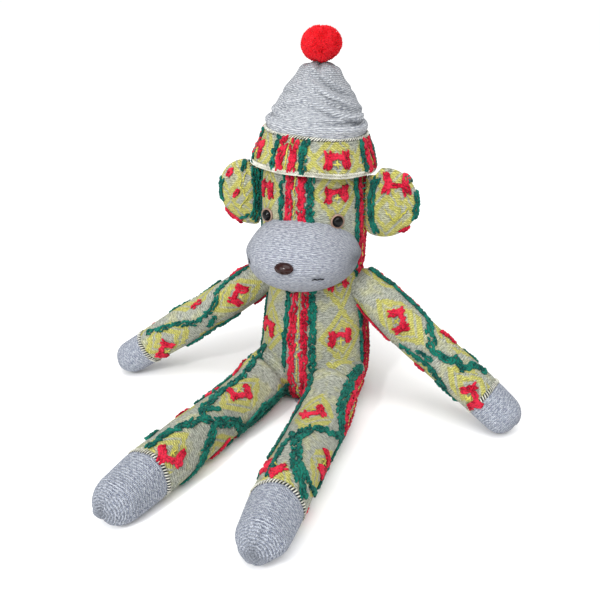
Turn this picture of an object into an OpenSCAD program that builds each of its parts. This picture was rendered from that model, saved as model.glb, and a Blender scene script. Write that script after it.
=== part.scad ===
// Stuffed sock monkey, sitting, with jointed head, ears, arms, legs, tail and pom-pom.
// Millimetres. Origin on the seat under the torso; +Z up; the monkey faces -Y, its left is +X.

/* [Knit] */
// Thickness of the knitted sock skin
knit_t = 1.5; // [1.2:0.1:1.8]

/* [Torso] */
// Radius of the stuffed torso at the belly
torso_r = 47.5; // [47:0.5:49]
// Radius of the torso at the shoulders
shoulder_r = 41.5; // [41:0.5:42]
// Height of the neck gathering above the seat
neck_z = 121.2; // [121:0.2:123]

/* [Head] */
// Radius of the head at the eyes
head_r = 44; // [43.5:0.25:44.5]
// Sideways lean of the head's axis
head_x = -3; // [-4:0.5:-2]
// Half width, half depth and half height of the muzzle
muzzle_size = [46.2, 54, 26.5];
// Radius of a safety eye
eye_r = 6; // [5:0.5:6]
// Radius of the round outline of an ear
ear_r = 29; // [27:0.5:29]
// Thickness of a stuffed ear
ear_t = 15; // [12:0.5:15]

/* [Hat] */
// Radius of the brim's lower edge
brim_r = 49.8; // [49:0.2:50]
// Height of the patterned brim
brim_h = 26; // [25:0.5:27]
// Height of the hat's tip above the brim's lower edge
hat_h = 79; // [78:0.5:82]
// Sideways tilt of the hat in degrees
hat_tilt = 3.5; // [2.5:0.5:4]
// Radius of the pom-pom
pom_r = 14; // [12:0.5:14]

/* [Arms] */
// Length of an arm from the shoulder pivot to the end of the hand
arm_l = 171; // [169:1:172]
// Distance of a shoulder pivot from the middle
shoulder_x = 45.5; // [45:0.5:47]
// Downward slope of the resting arms in degrees
arm_drop = 34; // [33:0.2:34]

/* [Legs] */
// Length of a leg from the hip pivot to the end of the foot
leg_l = 234; // [220:1:240]
// Distance of a hip pivot from the middle
hip_x = 28; // [28:0.2:28.6]
// Outward turn of the right leg at rest in degrees
right_leg_out = 14.4; // [13:0.2:16]
// Inward turn of the left leg at rest in degrees
left_leg_in = 0.6; // [0:0.2:1]

/* [Tail] */
// Radius of the stuffed tail
tail_r = 9.5; // [8.5:0.5:9.5]
// Radius of the tail's curl where it lies on the ground
tail_curl = 80; // [70:5:90]

/* [Hidden] */
$fn = 64;

loft_gap = 0.3;      // between a skin and what it holds
root_gap = 2.4;      // round a ball-ended root in its socket, with room for its ring of thread
thread_r = 0.7;      // hand-sewing thread, doubled
seam_w = 1.8;        // width of a row of ladder stitches
stuffing_inset = knit_t + loft_gap;

base_round = 16;     // rounding at the foot of the torso
web_t = 3.4;         // half thickness of the torso between the legs
neck_slope = 10;     // slope of the gathered ends at the neck, degrees
neck_gap = 2.5;
hip = [hip_x, -18.6, 23.2];
hip_r = 22.5;
shoulder = [shoulder_x, -5.8, 103.3];
shoulder_ball_r = 13;
arm_forward = 13.7;
hip_ring = 22.7;     // how far behind its pivot each ring of thread lies
shoulder_ring = 11;
tail_ring = 7;
tail_root = [0, 52, tail_r + 1];

// Stations along the limbs: [distance from the pivot, radius]
leg_stations = [[0, hip_r], [60, 20.8], [95, 20.3], [140, 21.6], [182, 20.6], [212, 19.5]];
arm_stations = [[0, shoulder_ball_r], [45, 17.3], [100, 17.4], [134, 16.6], [154, 16.6]];
ankle_s = 182;
wrist_s = 134;

right = -1;
left = 1;

// ---- curves -------------------------------------------------------------------------------
function ease(a, b, t) = a + (b - a) * (1 - cos(180 * t)) / 2;
function part_way(p, i, s) = min(1, max(0, (s - p[i][0]) / (p[i + 1][0] - p[i][0])));
function eased(p, s, i = 0) =
    (i >= len(p) - 2 || s <= p[i + 1][0])
    ? ease(p[i][1], p[i + 1][1], part_way(p, i, s))
    : eased(p, s, i + 1);
function arc(cx, cy, rx, ry, a0, a1, n) =
    [for (i = [0:n]) let (a = a0 + (a1 - a0) * i / n) [cx + rx * cos(a), cy + ry * sin(a)]];

// Outline of a limb: a ball at the pivot, a long side and a round end
function limb_outline(p, total, inset) =
    let (r0 = p[0][1] - inset, r1 = p[len(p) - 1][1] - inset, s1 = p[len(p) - 1][0])
    concat(
        arc(0, 0, r0, r0, -90, 0, 9),
        [for (i = [1:14]) let (s = s1 * i / 15) [eased(p, s) - inset, s]],
        arc(0, s1, r1, total - s1 - inset, 0, 90, 9));

module limb(p, total, inset) {
    rotate_extrude() polygon(limb_outline(p, total, inset));
}

module limb_shell(p, total, from, to) {
    intersection() {
        difference() {
            limb(p, total, 0);
            limb(p, total, knit_t);
        }
        translate([-60, -60, from]) cube([120, 120, to - from]);
    }
}

// A ring of ladder stitches that joins the patterned knit to the grey knit
module limb_stitches(r, s) {
    translate([0, 0, s - seam_w / 2])
        difference() {
            cylinder(r = r + 0.4, h = seam_w);
            translate([0, 0, -1]) cylinder(r = r - knit_t, h = seam_w + 2);
        }
}

// ---- sewn root of a limb: a ring of thread behind the ball, in the socket ------------------
function ring_r(ball_r, back) = sqrt(pow(ball_r + 1.2, 2) - back * back);

module root_ring(ball_r, back) {
    translate([0, 0, -back])
        rotate_extrude() translate([ring_r(ball_r, back), 0]) circle(r = thread_r, $fn = 24);
}

// ---- places of the limbs -------------------------------------------------------------------
module at_leg(side) {
    out = side == right ? right_leg_out : -left_leg_in;
    translate([side * hip[0], hip[1], hip[2]]) rotate([0, 0, side * out]) rotate([90, 0, 0]) children();
}

module at_arm(side, drop = arm_drop, forward = arm_forward) {
    translate([side * shoulder[0], shoulder[1], shoulder[2]])
        rotate([0, 0, -side * forward]) rotate([0, side * (90 + drop), 0]) children();
}

// ---- torso -----------------------------------------------------------------------------------
torso_stations = [[base_round, torso_r], [62, torso_r], [100, shoulder_r], [112, shoulder_r]];
shoulder_top = neck_z - neck_gap / 2 - shoulder_r * tan(neck_slope);

function torso_outline(inset) =
    concat(
        [[0, inset]],
        arc(torso_r - base_round, base_round, base_round - inset, base_round - inset, -90, 0, 8),
        [for (i = [1:11])
            let (z = base_round + (108 - base_round) * i / 12) [eased(torso_stations, z) - inset, z]],
        arc(shoulder_r - 6, shoulder_top - 7, 6 - inset, 7 - inset, 0, 80, 6),
        [[0, neck_z - neck_gap / 2 - inset]]);

// Plan of the space that a leg sweeps below its hip: round behind, open to the front and the side
function sweep_plan(r) =
    concat(
        arc(0, 0, r, r, 30, 180, 12),
        [[-r, -70], [90, -70], [90, -48], [r * cos(30) + 24, r * sin(30) - 34]]);

// Where a leg swings below and ahead of the belly, on one side
module leg_room(side, inset) {
    grow = root_gap + inset;
    at_leg(side) sphere(r = hip_r + grow);
    translate([side * hip[0], hip[1], -1])
        mirror([side > 0 ? 0 : 1, 0, 0])
            linear_extrude(hip[2] + 1) polygon(sweep_plan(hip_r + grow + 0.5));
    // The underside of the belly rises towards the front above the thigh
    translate([side * hip[0], hip[1], hip[2]])
        intersection() {
            rotate([-20, 0, 0])
                translate([-60, -90, -40]) cube([120, 90, 39.2 + hip_r + grow]);
            translate([side > 0 ? -hip[0] + web_t - inset : -90, -90, -40])
                cube([90 + hip[0] - web_t + inset, 90, 100]);
        }
}

// Where an arm swings beside the ribs, on one side
module arm_room(side, inset) {
    translate([side * shoulder[0], shoulder[1], shoulder[2]])
        sphere(r = shoulder_ball_r + root_gap + inset);
    at_arm(side, 45, 15)
        cylinder(r1 = shoulder_ball_r + 1.1 + inset, r2 = shoulder_ball_r + 19 + inset, h = 38);
}

module torso_solid(inset) {
    difference() {
        rotate_extrude() polygon(torso_outline(inset));
        for (side = [right, left]) {
            leg_room(side, inset);
            arm_room(side, inset);
        }
        translate(tail_root) sphere(r = tail_r + tail_bulge + root_gap + inset);
    }
}

// Grey heel of the sock, let into the seat
heel_r = 13;
heel_y = 22;
heel_t = 1;

module torso_skin() {
    color("darkkhaki") difference() {
        torso_solid(0);
        torso_solid(knit_t);
        translate([0, heel_y, -1]) cylinder(r = heel_r, h = heel_t + 1);
    }
}

// The filling stops short of the hips and of the hollows where the arms are sewn on
module torso_stuffing() {
    clear = root_gap + knit_t + 1;
    arm_clear = shoulder_ball_r + clear;
    color("white") difference() {
        rotate_extrude() polygon(torso_outline(stuffing_inset));
        translate([-60, -60, -1]) cube([120, 61 + hip[1] + hip_r + clear, hip[2] + hip_r + clear + 1]);
        translate([0, hip[1], hip[2]]) rotate([-20, 0, 0])
            translate([-60, -90, -60]) cube([120, 90, 60 + hip_r + clear]);
        for (side = [right, left]) {
            translate([side * (shoulder[0] + 30 - arm_clear) - 30, -50, shoulder[2] - 20])
                cube([60, 74, 60]);
            translate([side * (shoulder[0] + 22) - 30, -50, 48]) cube([60, 74, 50]);
        }
        translate(tail_root) sphere(r = tail_r + tail_bulge + clear);
    }
}

module seat_heel_patch() {
    color("lightslategray") translate([0, heel_y, 0]) cylinder(r = heel_r, h = heel_t);
}

// ---- legs --------------------------------------------------------------------------------------
module hip_stitches(side) {
    color("darkgreen") at_leg(side) root_ring(hip_r, hip_ring);
}

module leg_skin(side) {
    color("darkkhaki") at_leg(side) limb_shell(leg_stations, leg_l, -40, ankle_s - seam_w / 2);
}

module leg_stuffing(side) {
    color("white") at_leg(side) limb(leg_stations, leg_l, stuffing_inset);
}

module foot(side) {
    color("lightslategray") at_leg(side)
        limb_shell(leg_stations, leg_l, ankle_s + seam_w / 2, leg_l + 1);
}

module ankle_stitches(side) {
    color("ivory") at_leg(side) limb_stitches(eased(leg_stations, ankle_s), ankle_s);
}

// ---- arms --------------------------------------------------------------------------------------
module shoulder_stitches(side) {
    color("crimson") at_arm(side) root_ring(shoulder_ball_r, shoulder_ring);
}

module arm_skin(side) {
    color("darkkhaki") at_arm(side) limb_shell(arm_stations, arm_l, -40, wrist_s - seam_w / 2);
}

module arm_stuffing(side) {
    color("white") at_arm(side) limb(arm_stations, arm_l, stuffing_inset);
}

module hand(side) {
    color("lightslategray") at_arm(side)
        limb_shell(arm_stations, arm_l, wrist_s + seam_w / 2, arm_l + 1);
}

module wrist_stitches(side) {
    color("ivory") at_arm(side) limb_stitches(eased(arm_stations, wrist_s), wrist_s);
}

// ---- head --------------------------------------------------------------------------------------
head_stations = [[138, head_r - 1.2], [160, head_r], [185, head_r - 0.4], [206, head_r - 2.6]];
chin_z = neck_z + neck_gap / 2;
cheek_z = chin_z + (head_r - 5) * tan(neck_slope);

function head_outline(inset) =
    concat(
        [[0, chin_z + inset]],
        arc(head_r - 7, cheek_z + 7, 6 - inset, 7 - inset, -80, 0, 6),
        [for (i = [0:8]) let (z = 142 + (202 - 142) * i / 8) [eased(head_stations, z) - inset, z]],
        arc(0, 206, head_r - 2.6 - inset, 30 - inset, 0, 90, 9));

module head_form(inset) {
    translate([head_x, 0, 0]) rotate_extrude() polygon(head_outline(inset));
}

// A safety eye looks along its local +Z, from the back face of its rim
eye_z = 168.3;
eye_out = 29.4;
eye_back = 33.2;
right_eye_turn = 22;
left_eye_turn = 36;
module at_eye(side) {
    turn = side == right ? right_eye_turn : left_eye_turn;
    translate([head_x + side * eye_out, -eye_back, eye_z])
        rotate([0, 0, side * turn]) rotate([86, 0, 0]) children();
}

eye_rim_t = 1.6;
shank_r = 1.6;
shank_l = 11;
washer_r = 6.5;
washer_t = 1.5;
washer_back = 7;

module button_room(r, sunk) {
    translate([0, 0, -sunk]) cylinder(r = r + 0.3, h = 12);
    translate([0, 0, -shank_l - 0.4]) cylinder(r = shank_r + 0.3, h = shank_l);
}

module washer_room() {
    translate([0, 0, -washer_back - washer_t - 0.3])
        cylinder(r = washer_r + 0.3, h = washer_t + 0.6);
}

module washer() {
    translate([0, 0, -washer_back - washer_t])
        difference() {
            cylinder(r = washer_r, h = washer_t);
            translate([0, 0, -1]) cylinder(r = shank_r + 0.05, h = washer_t + 2);
        }
}

module head_solid(inset) {
    difference() {
        head_form(inset);
        for (side = [right, left])
            at_eye(side) translate([0, 0, -inset]) cylinder(r = eye_r + 0.4 + inset, h = 20);
    }
}

module head_skin() {
    color("darkkhaki") difference() {
        head_solid(0);
        head_solid(knit_t);
        for (side = [right, left])
            at_eye(side) button_room(shank_r, 8);
    }
}

module head_stuffing() {
    color("white") difference() {
        head_solid(stuffing_inset);
        for (side = [right, left])
            at_eye(side) {
                button_room(shank_r, 8);
                washer_room();
            }
    }
}

module eye_rim(side) {
    color("rosybrown") at_eye(side) {
        cylinder(r = eye_r, h = eye_rim_t);
        translate([0, 0, -shank_l]) cylinder(r = shank_r, h = shank_l);
    }
}

module eye_dome(side) {
    color("black") at_eye(side)
        translate([0, 0, eye_rim_t])
            intersection() {
                translate([0, 0, -2.2]) sphere(r = 4.8);
                cylinder(r = 6, h = 6);
            }
}

module eye_washer(side) {
    color("whitesmoke") at_eye(side) washer();
}

module neck_gathering_thread() {
    color("darkgreen") translate([0, 0, neck_z])
        rotate_extrude() translate([37, 0]) circle(r = thread_r, $fn = 24);
}

// ---- muzzle ------------------------------------------------------------------------------------
muzzle_centre = [head_x, -28, 134.5];
nose_z = 142;
nose_up = 31;
nose_size = [7.3, 4.5, 3.6];

module muzzle_form(inset) {
    difference() {
        translate(muzzle_centre) scale([for (a = muzzle_size) a - inset]) sphere(r = 1);
        // Room for the chest when the head nods
        translate([0, 0, 80]) cylinder(r = 47 + inset, h = chin_z + 9 - 80);
    }
}

module at_nose() {
    rise = nose_z - muzzle_centre[2];
    depth = muzzle_size[1] * sqrt(1 - pow(rise / muzzle_size[2], 2));
    translate([head_x, muzzle_centre[1] - depth, nose_z]) rotate([90 - nose_up, 0, 0]) children();
}

// Each mouth tuck: place across and height on the muzzle, and its slant
mouth_tucks = [[-37, 138.5, 65], [23.5, 131.5, 84]];
module tuck(t, r) {
    across = t[0] / muzzle_size[0];
    rise = (t[1] - muzzle_centre[2]) / muzzle_size[2];
    depth = muzzle_size[1] * sqrt(1 - across * across - rise * rise);
    translate([head_x + t[0], muzzle_centre[1] - depth, t[1]])
        rotate([0, t[2], atan2(t[0], depth) * 0.8])
            translate([0, 0, -3.6]) cylinder(r = r, h = 7.2);
}

module muzzle_skin() {
    color("lightslategray") difference() {
        muzzle_form(0);
        muzzle_form(knit_t);
        head_form(-loft_gap);
        at_nose() button_room(shank_r, 8);
        for (t = mouth_tucks) tuck(t, thread_r + 0.1);
    }
}

module muzzle_stuffing() {
    color("white") difference() {
        muzzle_form(stuffing_inset);
        head_form(-loft_gap);
        at_nose() {
            button_room(shank_r, 8);
            washer_room();
        }
    }
}

module mouth_stitches() {
    color("black") for (t = mouth_tucks) tuck(t, thread_r);
}

module nose() {
    color("#3a1512") at_nose() {
        translate([0, 0, 0.6]) intersection() {
            scale(nose_size) sphere(r = 1);
            translate([-10, -10, 0]) cube([20, 20, 10]);
        }
        translate([0, 0, -shank_l]) cylinder(r = shank_r, h = shank_l + 0.6);
    }
}

module nose_washer() {
    color("whitesmoke") at_nose() washer();
}

// ---- ears --------------------------------------------------------------------------------------
ear_z = 179.2;
ear_y = -6;
ear_far = 86;        // outermost point of each ear from the middle plane
ear_pivot_gap = 1;   // from the head to the hinge line of the seam
ear_root_gap = 3;    // from the head to the pinched edge of the ear

// Where the head's side lies at an ear
function head_side(side) = head_x + side * sqrt(head_r * head_r - ear_y * ear_y);

module ear_form(side, inset) {
    lens_r = (ear_r * ear_r + ear_t * ear_t / 4) / ear_t;
    root_x = head_side(side) + side * (ear_root_gap + inset);
    difference() {
        translate([side * (ear_far - ear_r), ear_y, ear_z])
            intersection_for (face = [-1, 1])
                translate([0, face * (lens_r - ear_t / 2), 0])
                    sphere(r = lens_r - inset, $fn = 128);
        translate([side > 0 ? root_x - 80 : root_x, ear_y - 40, ear_z - 60])
            cube([80, 80, 120]);
        // Room under the brim of the hat
        translate([-2.5, 0, 201.5 - inset]) cylinder(r = 53 + inset, h = 40);
    }
}

module ear_skin(side) {
    color("darkkhaki") difference() {
        ear_form(side, 0);
        ear_form(side, knit_t);
    }
}

module ear_stuffing(side) {
    color("white") ear_form(side, stuffing_inset);
}

module ear_stitches(side) {
    color("darkgreen")
        translate([head_side(side) + side * ear_pivot_gap, ear_y, ear_z - 21])
            cylinder(r = thread_r, h = 41, $fn = 24);
}

// ---- hat ---------------------------------------------------------------------------------------
hat_x = -2.5;
hat_z = 207;
brim_t = 2.5;
hem_t = 1.4;
hat_fold_h = 35.5;
cone_stations = [[brim_h, 40.8], [hat_fold_h, 39.9], [42.5, 35.2], [53, 30], [61.5, 24.6], [71, 17.5]];

module at_hat() {
    translate([hat_x, 0, hat_z]) rotate([0, hat_tilt, 0]) children();
}

function cone_outline(inset) =
    concat(
        [[0, brim_h], [cone_stations[0][1] - inset, brim_h]],
        [for (i = [1:5]) [cone_stations[i][1] - inset, cone_stations[i][0]]],
        arc(0, hat_h - 10, 15 - inset, 10 - inset, 25, 90, 5));

module hat_form(inset) {
    rotate_extrude() polygon(cone_outline(inset));
}

module hat_cone() {
    color("lightslategray") at_hat() difference() {
        hat_form(0);
        hat_form(knit_t);
        translate([0, 0, brim_h - 2]) cylinder(r = cone_stations[0][1] - knit_t, h = 3);
    }
}

module hat_brim() {
    top = cone_stations[0][1] + 0.8;
    color("darkkhaki") at_hat() rotate_extrude()
        polygon([[brim_r, 0], [top, brim_h], [top - brim_t, brim_h], [brim_r - brim_t, 0]]);
}

module hat_hem() {
    color("ivory") at_hat() translate([0, 0, -hem_t]) difference() {
        cylinder(r = brim_r + 0.3, h = hem_t);
        translate([0, 0, -1]) cylinder(r = brim_r - brim_t, h = hem_t + 2);
    }
}

module hat_stuffing() {
    color("white") difference() {
        at_hat() hat_form(stuffing_inset);
        head_form(-loft_gap);
    }
}

tie_h = 2;
pom_seat = [hat_x + hat_h * sin(hat_tilt), 0, hat_z + hat_h * cos(hat_tilt)];

module pompom_tie() {
    color("red") translate([pom_seat[0], 0, pom_seat[2] + 0.4]) cylinder(r = 2, h = tie_h);
}

module pompom() {
    color("red") translate([pom_seat[0], 0, pom_seat[2] + tie_h + 0.4])
        difference() {
            translate([0, 0, pom_r - 0.4]) sphere(r = pom_r);
            translate([-8, -8, -4]) cube([16, 16, 4]);
        }
}

// ---- tail --------------------------------------------------------------------------------------
// The tail lies on the ground behind the torso and curls to the monkey's right
tail_turn = 78;
tail_tip_turn = 60;

module tail_bow(r, from, to) {
    translate([-tail_curl, tail_root[1], tail_root[2]])
        rotate([0, 0, from]) rotate_extrude(angle = to - from) translate([tail_curl, 0]) circle(r = r);
}

// The gathered root and the gathered tip are a little fuller than the tail between them
tail_bulge = 0.6;
module tail_ball(turn, inset) {
    translate([-tail_curl, tail_root[1], tail_root[2]])
        rotate([0, 0, turn]) translate([tail_curl, 0, 0]) sphere(r = tail_r + tail_bulge - inset);
}

seam_turn = seam_w / tail_curl * 180 / PI;

module tail_skin() {
    color("darkkhaki") difference() {
        union() {
            tail_ball(0, 0);
            tail_bow(tail_r, 0, tail_tip_turn);
        }
        tail_ball(0, knit_t);
        tail_bow(tail_r - knit_t, 0, tail_tip_turn + 1);
    }
}

module tail_stuffing() {
    color("white") {
        tail_ball(0, stuffing_inset);
        tail_bow(tail_r - stuffing_inset, 0, tail_turn);
        tail_ball(tail_turn, stuffing_inset);
    }
}

module tail_tip() {
    color("lightslategray") difference() {
        union() {
            tail_bow(tail_r, tail_tip_turn + seam_turn, tail_turn);
            tail_ball(tail_turn, 0);
        }
        tail_bow(tail_r - knit_t, tail_tip_turn, tail_turn);
        tail_ball(tail_turn, knit_t);
    }
}

module tail_tip_stitches() {
    color("ivory") difference() {
        tail_bow(tail_r + 0.3, tail_tip_turn, tail_tip_turn + seam_turn);
        tail_bow(tail_r - knit_t, tail_tip_turn - 1, tail_tip_turn + seam_turn + 1);
    }
}

module tail_base_stitches() {
    color("darkgreen") translate(tail_root) rotate([-90, 0, 0]) root_ring(tail_r + tail_bulge, tail_ring);
}

// ---- drawing -----------------------------------------------------------------------------------
torso_skin();
torso_stuffing();
seat_heel_patch();
hip_stitches(right);  // right_hip_stitches
hip_stitches(left);  // left_hip_stitches
leg_skin(right);  // right_leg_skin
leg_stuffing(right);  // right_leg_stuffing
foot(right);  // right_foot
ankle_stitches(right);  // right_ankle_stitches
leg_skin(left);  // left_leg_skin
leg_stuffing(left);  // left_leg_stuffing
foot(left);  // left_foot
ankle_stitches(left);  // left_ankle_stitches
shoulder_stitches(right);  // right_shoulder_stitches
shoulder_stitches(left);  // left_shoulder_stitches
arm_skin(right);  // right_arm_skin
arm_stuffing(right);  // right_arm_stuffing
hand(right);  // right_hand
wrist_stitches(right);  // right_wrist_stitches
arm_skin(left);  // left_arm_skin
arm_stuffing(left);  // left_arm_stuffing
hand(left);  // left_hand
wrist_stitches(left);  // left_wrist_stitches
neck_gathering_thread();
head_skin();
head_stuffing();
muzzle_skin();
muzzle_stuffing();
mouth_stitches();
nose();
nose_washer();
eye_rim(right);  // right_eye_rim
eye_dome(right);  // right_eye_dome
eye_washer(right);  // right_eye_washer
eye_rim(left);  // left_eye_rim
eye_dome(left);  // left_eye_dome
eye_washer(left);  // left_eye_washer
ear_skin(right);  // right_ear_skin
ear_stuffing(right);  // right_ear_stuffing
ear_stitches(right);  // right_ear_stitches
ear_skin(left);  // left_ear_skin
ear_stuffing(left);  // left_ear_stuffing
ear_stitches(left);  // left_ear_stitches
hat_cone();
hat_brim();
hat_hem();
hat_stuffing();
pompom();
pompom_tie();
tail_base_stitches();
tail_skin();
tail_stuffing();
tail_tip();
tail_tip_stitches();
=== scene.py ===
# %% [markdown]
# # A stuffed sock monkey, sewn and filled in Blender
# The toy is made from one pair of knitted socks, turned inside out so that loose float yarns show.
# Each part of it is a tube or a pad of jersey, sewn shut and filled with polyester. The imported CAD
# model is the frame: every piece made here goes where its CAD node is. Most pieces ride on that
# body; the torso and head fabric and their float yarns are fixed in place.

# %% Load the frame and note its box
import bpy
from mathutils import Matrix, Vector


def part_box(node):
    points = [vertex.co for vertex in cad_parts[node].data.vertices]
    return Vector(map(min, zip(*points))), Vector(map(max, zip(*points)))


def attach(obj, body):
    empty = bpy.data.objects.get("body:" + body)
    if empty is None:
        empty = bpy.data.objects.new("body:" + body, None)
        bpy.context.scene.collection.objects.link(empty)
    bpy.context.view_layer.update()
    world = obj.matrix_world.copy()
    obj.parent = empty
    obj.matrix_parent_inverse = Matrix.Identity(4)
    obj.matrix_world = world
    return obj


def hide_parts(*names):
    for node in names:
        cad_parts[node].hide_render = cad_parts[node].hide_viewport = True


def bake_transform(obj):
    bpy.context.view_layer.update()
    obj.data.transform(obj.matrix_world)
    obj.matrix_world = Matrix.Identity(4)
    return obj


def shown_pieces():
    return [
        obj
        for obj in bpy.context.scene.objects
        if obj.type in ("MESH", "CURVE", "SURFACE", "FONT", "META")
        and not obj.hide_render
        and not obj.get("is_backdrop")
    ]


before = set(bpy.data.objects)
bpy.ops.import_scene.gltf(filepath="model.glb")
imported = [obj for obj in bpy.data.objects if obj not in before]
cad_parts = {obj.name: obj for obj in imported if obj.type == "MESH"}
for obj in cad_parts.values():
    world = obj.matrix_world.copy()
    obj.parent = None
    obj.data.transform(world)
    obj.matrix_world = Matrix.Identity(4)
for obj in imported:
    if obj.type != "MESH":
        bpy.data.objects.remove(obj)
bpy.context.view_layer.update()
import math
import bpy
import numpy as np
from mathutils import Vector

MM = 0.001
scene = bpy.context.scene

# %% [markdown]
# ## Fabric as rings of points
# A sewn tube is easiest to hold as a grid: rings along it, and angles round it. The grid can be
# puffed up, dented, made finer and measured, and a yarn can be laid on it by giving how far along
# and how far round it goes. Points are in millimetres until the mesh is built.

# %% Make a grid of points finer with a smooth curve through them
def finer(values, factor, closed):
    count = len(values)
    total = count * factor if closed else (count - 1) * factor + 1
    place = np.arange(total) / factor
    cell = np.floor(place).astype(int)
    f = (place - cell).reshape((-1,) + (1,) * (values.ndim - 1))

    def pick(k):
        return values[k % count] if closed else values[np.clip(k, 0, count - 1)]

    a, b, c, d = pick(cell - 1), pick(cell), pick(cell + 1), pick(cell + 2)
    return 0.5 * (2 * b + (c - a) * f + (2 * a - 5 * b + 4 * c - d) * f ** 2
                  + (3 * b - 3 * c + d - a) * f ** 3)


# %% A tube of fabric that knows its own surface
class Fabric:
    """Rings of points [ring, angle, xyz] in mm, and how far along the cloth each ring lies."""

    def __init__(self, rings, along):
        self.rings = np.array(rings, float)
        self.along = np.array(along, float)
        self.measure()

    def measure(self):
        r = self.rings
        down = np.gradient(r, axis=0)
        round_ = np.roll(r, -1, 1) - np.roll(r, 1, 1)
        n = np.cross(down, round_)
        n /= np.linalg.norm(n, axis=2, keepdims=True) + 1e-9
        middle = r.mean((0, 1), keepdims=True)
        core = 0.5 * r.mean(1, keepdims=True) + 0.5 * middle
        if ((r - core) * n).sum() < 0:
            n = -n
        self.normals = n

    def at(self, s, angle):
        """Points and normals at distances s (mm) and angles (degrees)."""
        s, angle = np.broadcast_arrays(np.asarray(s, float), np.asarray(angle, float))
        ns, nt = self.rings.shape[:2]
        i = np.interp(s, self.along, np.arange(ns))
        i0 = np.clip(np.floor(i).astype(int), 0, ns - 2)
        fi = (i - i0)[..., None]
        t = (angle % 360) / 360 * nt
        t0 = np.floor(t).astype(int) % nt
        ft = (t - np.floor(t))[..., None]
        t1 = (t0 + 1) % nt

        def mix(g):
            return ((g[i0, t0] * (1 - ft) + g[i0, t1] * ft) * (1 - fi)
                    + (g[i0 + 1, t0] * (1 - ft) + g[i0 + 1, t1] * ft) * fi)

        n = mix(self.normals)
        return mix(self.rings), n / (np.linalg.norm(n, axis=-1, keepdims=True) + 1e-9)

    def push(self, amount):
        """Moves every point out along its normal by amount (mm)."""
        self.rings = self.rings + self.normals * np.asarray(amount)[..., None]
        self.measure()

    def dent(self, s, angle, half_s, half_angle, depth, slant=0.0):
        """A soft tuck or fold; slant turns its long axis."""
        a = np.arange(self.rings.shape[1]) / self.rings.shape[1] * 360
        da = (a[None, :] - angle + 180) % 360 - 180
        ds = self.along[:, None] - s
        ca, sa = math.cos(math.radians(slant)), math.sin(math.radians(slant))
        u, v = ds / half_s, da / half_angle
        ratio = half_s / max(half_angle * 0.37, 1e-6)
        u2 = ca * u + sa * v / ratio
        v2 = -sa * u * ratio + ca * v
        self.push(-depth * np.exp(-u2 ** 2 - v2 ** 2))

    def lumps(self, size, height, seed):
        """Filling is never quite even: a few seeded waves."""
        rng = np.random.default_rng(seed)
        ns, nt = self.rings.shape[:2]
        a = np.arange(nt)[None, :] / nt * 2 * math.pi
        s = self.along[:, None]
        total = np.zeros((ns, nt))
        for _ in range(7):
            k = rng.integers(1, 5)
            total += math.sqrt(2 / 7) * np.sin(k * a + rng.uniform(0, 6.28)
                                               + s / size * rng.uniform(-1.6, 1.6))
        self.push(height * total)

    def refined(self, factor_s, factor_t):
        r = finer(self.rings, factor_s, False)
        r = np.swapaxes(finer(np.swapaxes(r, 0, 1), factor_t, True), 0, 1)
        return Fabric(r, finer(self.along[:, None], factor_s, False)[:, 0])


# %% [markdown]
# ## Filling a part with cloth simulation
# Real filling pushes the knit out between its seams. Each coarse tube is a cloth with a little air
# pressure and no gravity, its seam rings are held, and the result is read back into the same grid.
# The average swelling is taken off again, so that the part keeps the size of its CAD node.

# %% Puff a coarse tube
def closed_faces(ns, nt):
    faces = []
    for i in range(ns - 1):
        for t in range(nt):
            u = (t + 1) % nt
            faces.append((i * nt + t, i * nt + u, (i + 1) * nt + u, (i + 1) * nt + t))
    first, last = ns * nt, ns * nt + 1
    for t in range(nt):
        u = (t + 1) % nt
        faces.append((first, u, t))
        faces.append((last, (ns - 1) * nt + t, (ns - 1) * nt + u))
    return faces


def puff(fabric, held_rings, cap, pressure=4.0):
    ns, nt = fabric.rings.shape[:2]
    rest = np.vstack([fabric.rings.reshape(-1, 3), fabric.rings[0].mean(0)[None],
                      fabric.rings[-1].mean(0)[None]]) * MM
    mesh = bpy.data.meshes.new("filling_trial")
    mesh.from_pydata(rest.tolist(), [], closed_faces(ns, nt))
    trial = bpy.data.objects.new("filling_trial", mesh)
    scene.collection.objects.link(trial)
    held = [i * nt + t for i in held_rings for t in range(nt)] + [ns * nt, ns * nt + 1]
    group = trial.vertex_groups.new(name="seams")
    group.add(held, 1.0, "REPLACE")
    cloth = trial.modifiers.new("filling", "CLOTH")
    s = cloth.settings
    s.quality = 4
    s.mass = 0.15
    s.tension_stiffness = 12
    s.compression_stiffness = 12
    s.bending_stiffness = 0.2
    s.use_pressure = True
    s.uniform_pressure_force = pressure
    s.vertex_group_mass = "seams"
    s.effector_weights.gravity = 0
    cloth.point_cache.frame_start, cloth.point_cache.frame_end = 1, 20
    for step in range(1, 21):
        scene.frame_set(step)
    done = trial.evaluated_get(bpy.context.evaluated_depsgraph_get()).to_mesh()
    co = np.zeros(len(done.vertices) * 3)
    done.vertices.foreach_get("co", co)
    move = (co.reshape(-1, 3) - rest)[:ns * nt].reshape(ns, nt, 3) / MM
    bpy.data.objects.remove(trial)
    bpy.data.meshes.remove(mesh)
    scene.frame_set(1)
    size = np.linalg.norm(move, axis=2, keepdims=True) + 1e-9
    move = move * (cap * np.tanh(size / cap) / size)
    swell = (move * fabric.normals).sum(2)
    free = np.ones(ns, bool)
    free[list(held_rings)] = False
    fabric.rings = fabric.rings + move - fabric.normals * swell[free].mean()
    fabric.measure()
    print("  puffed by", round(float(swell[free].mean()), 2), "mm on average")
    return fabric


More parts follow.
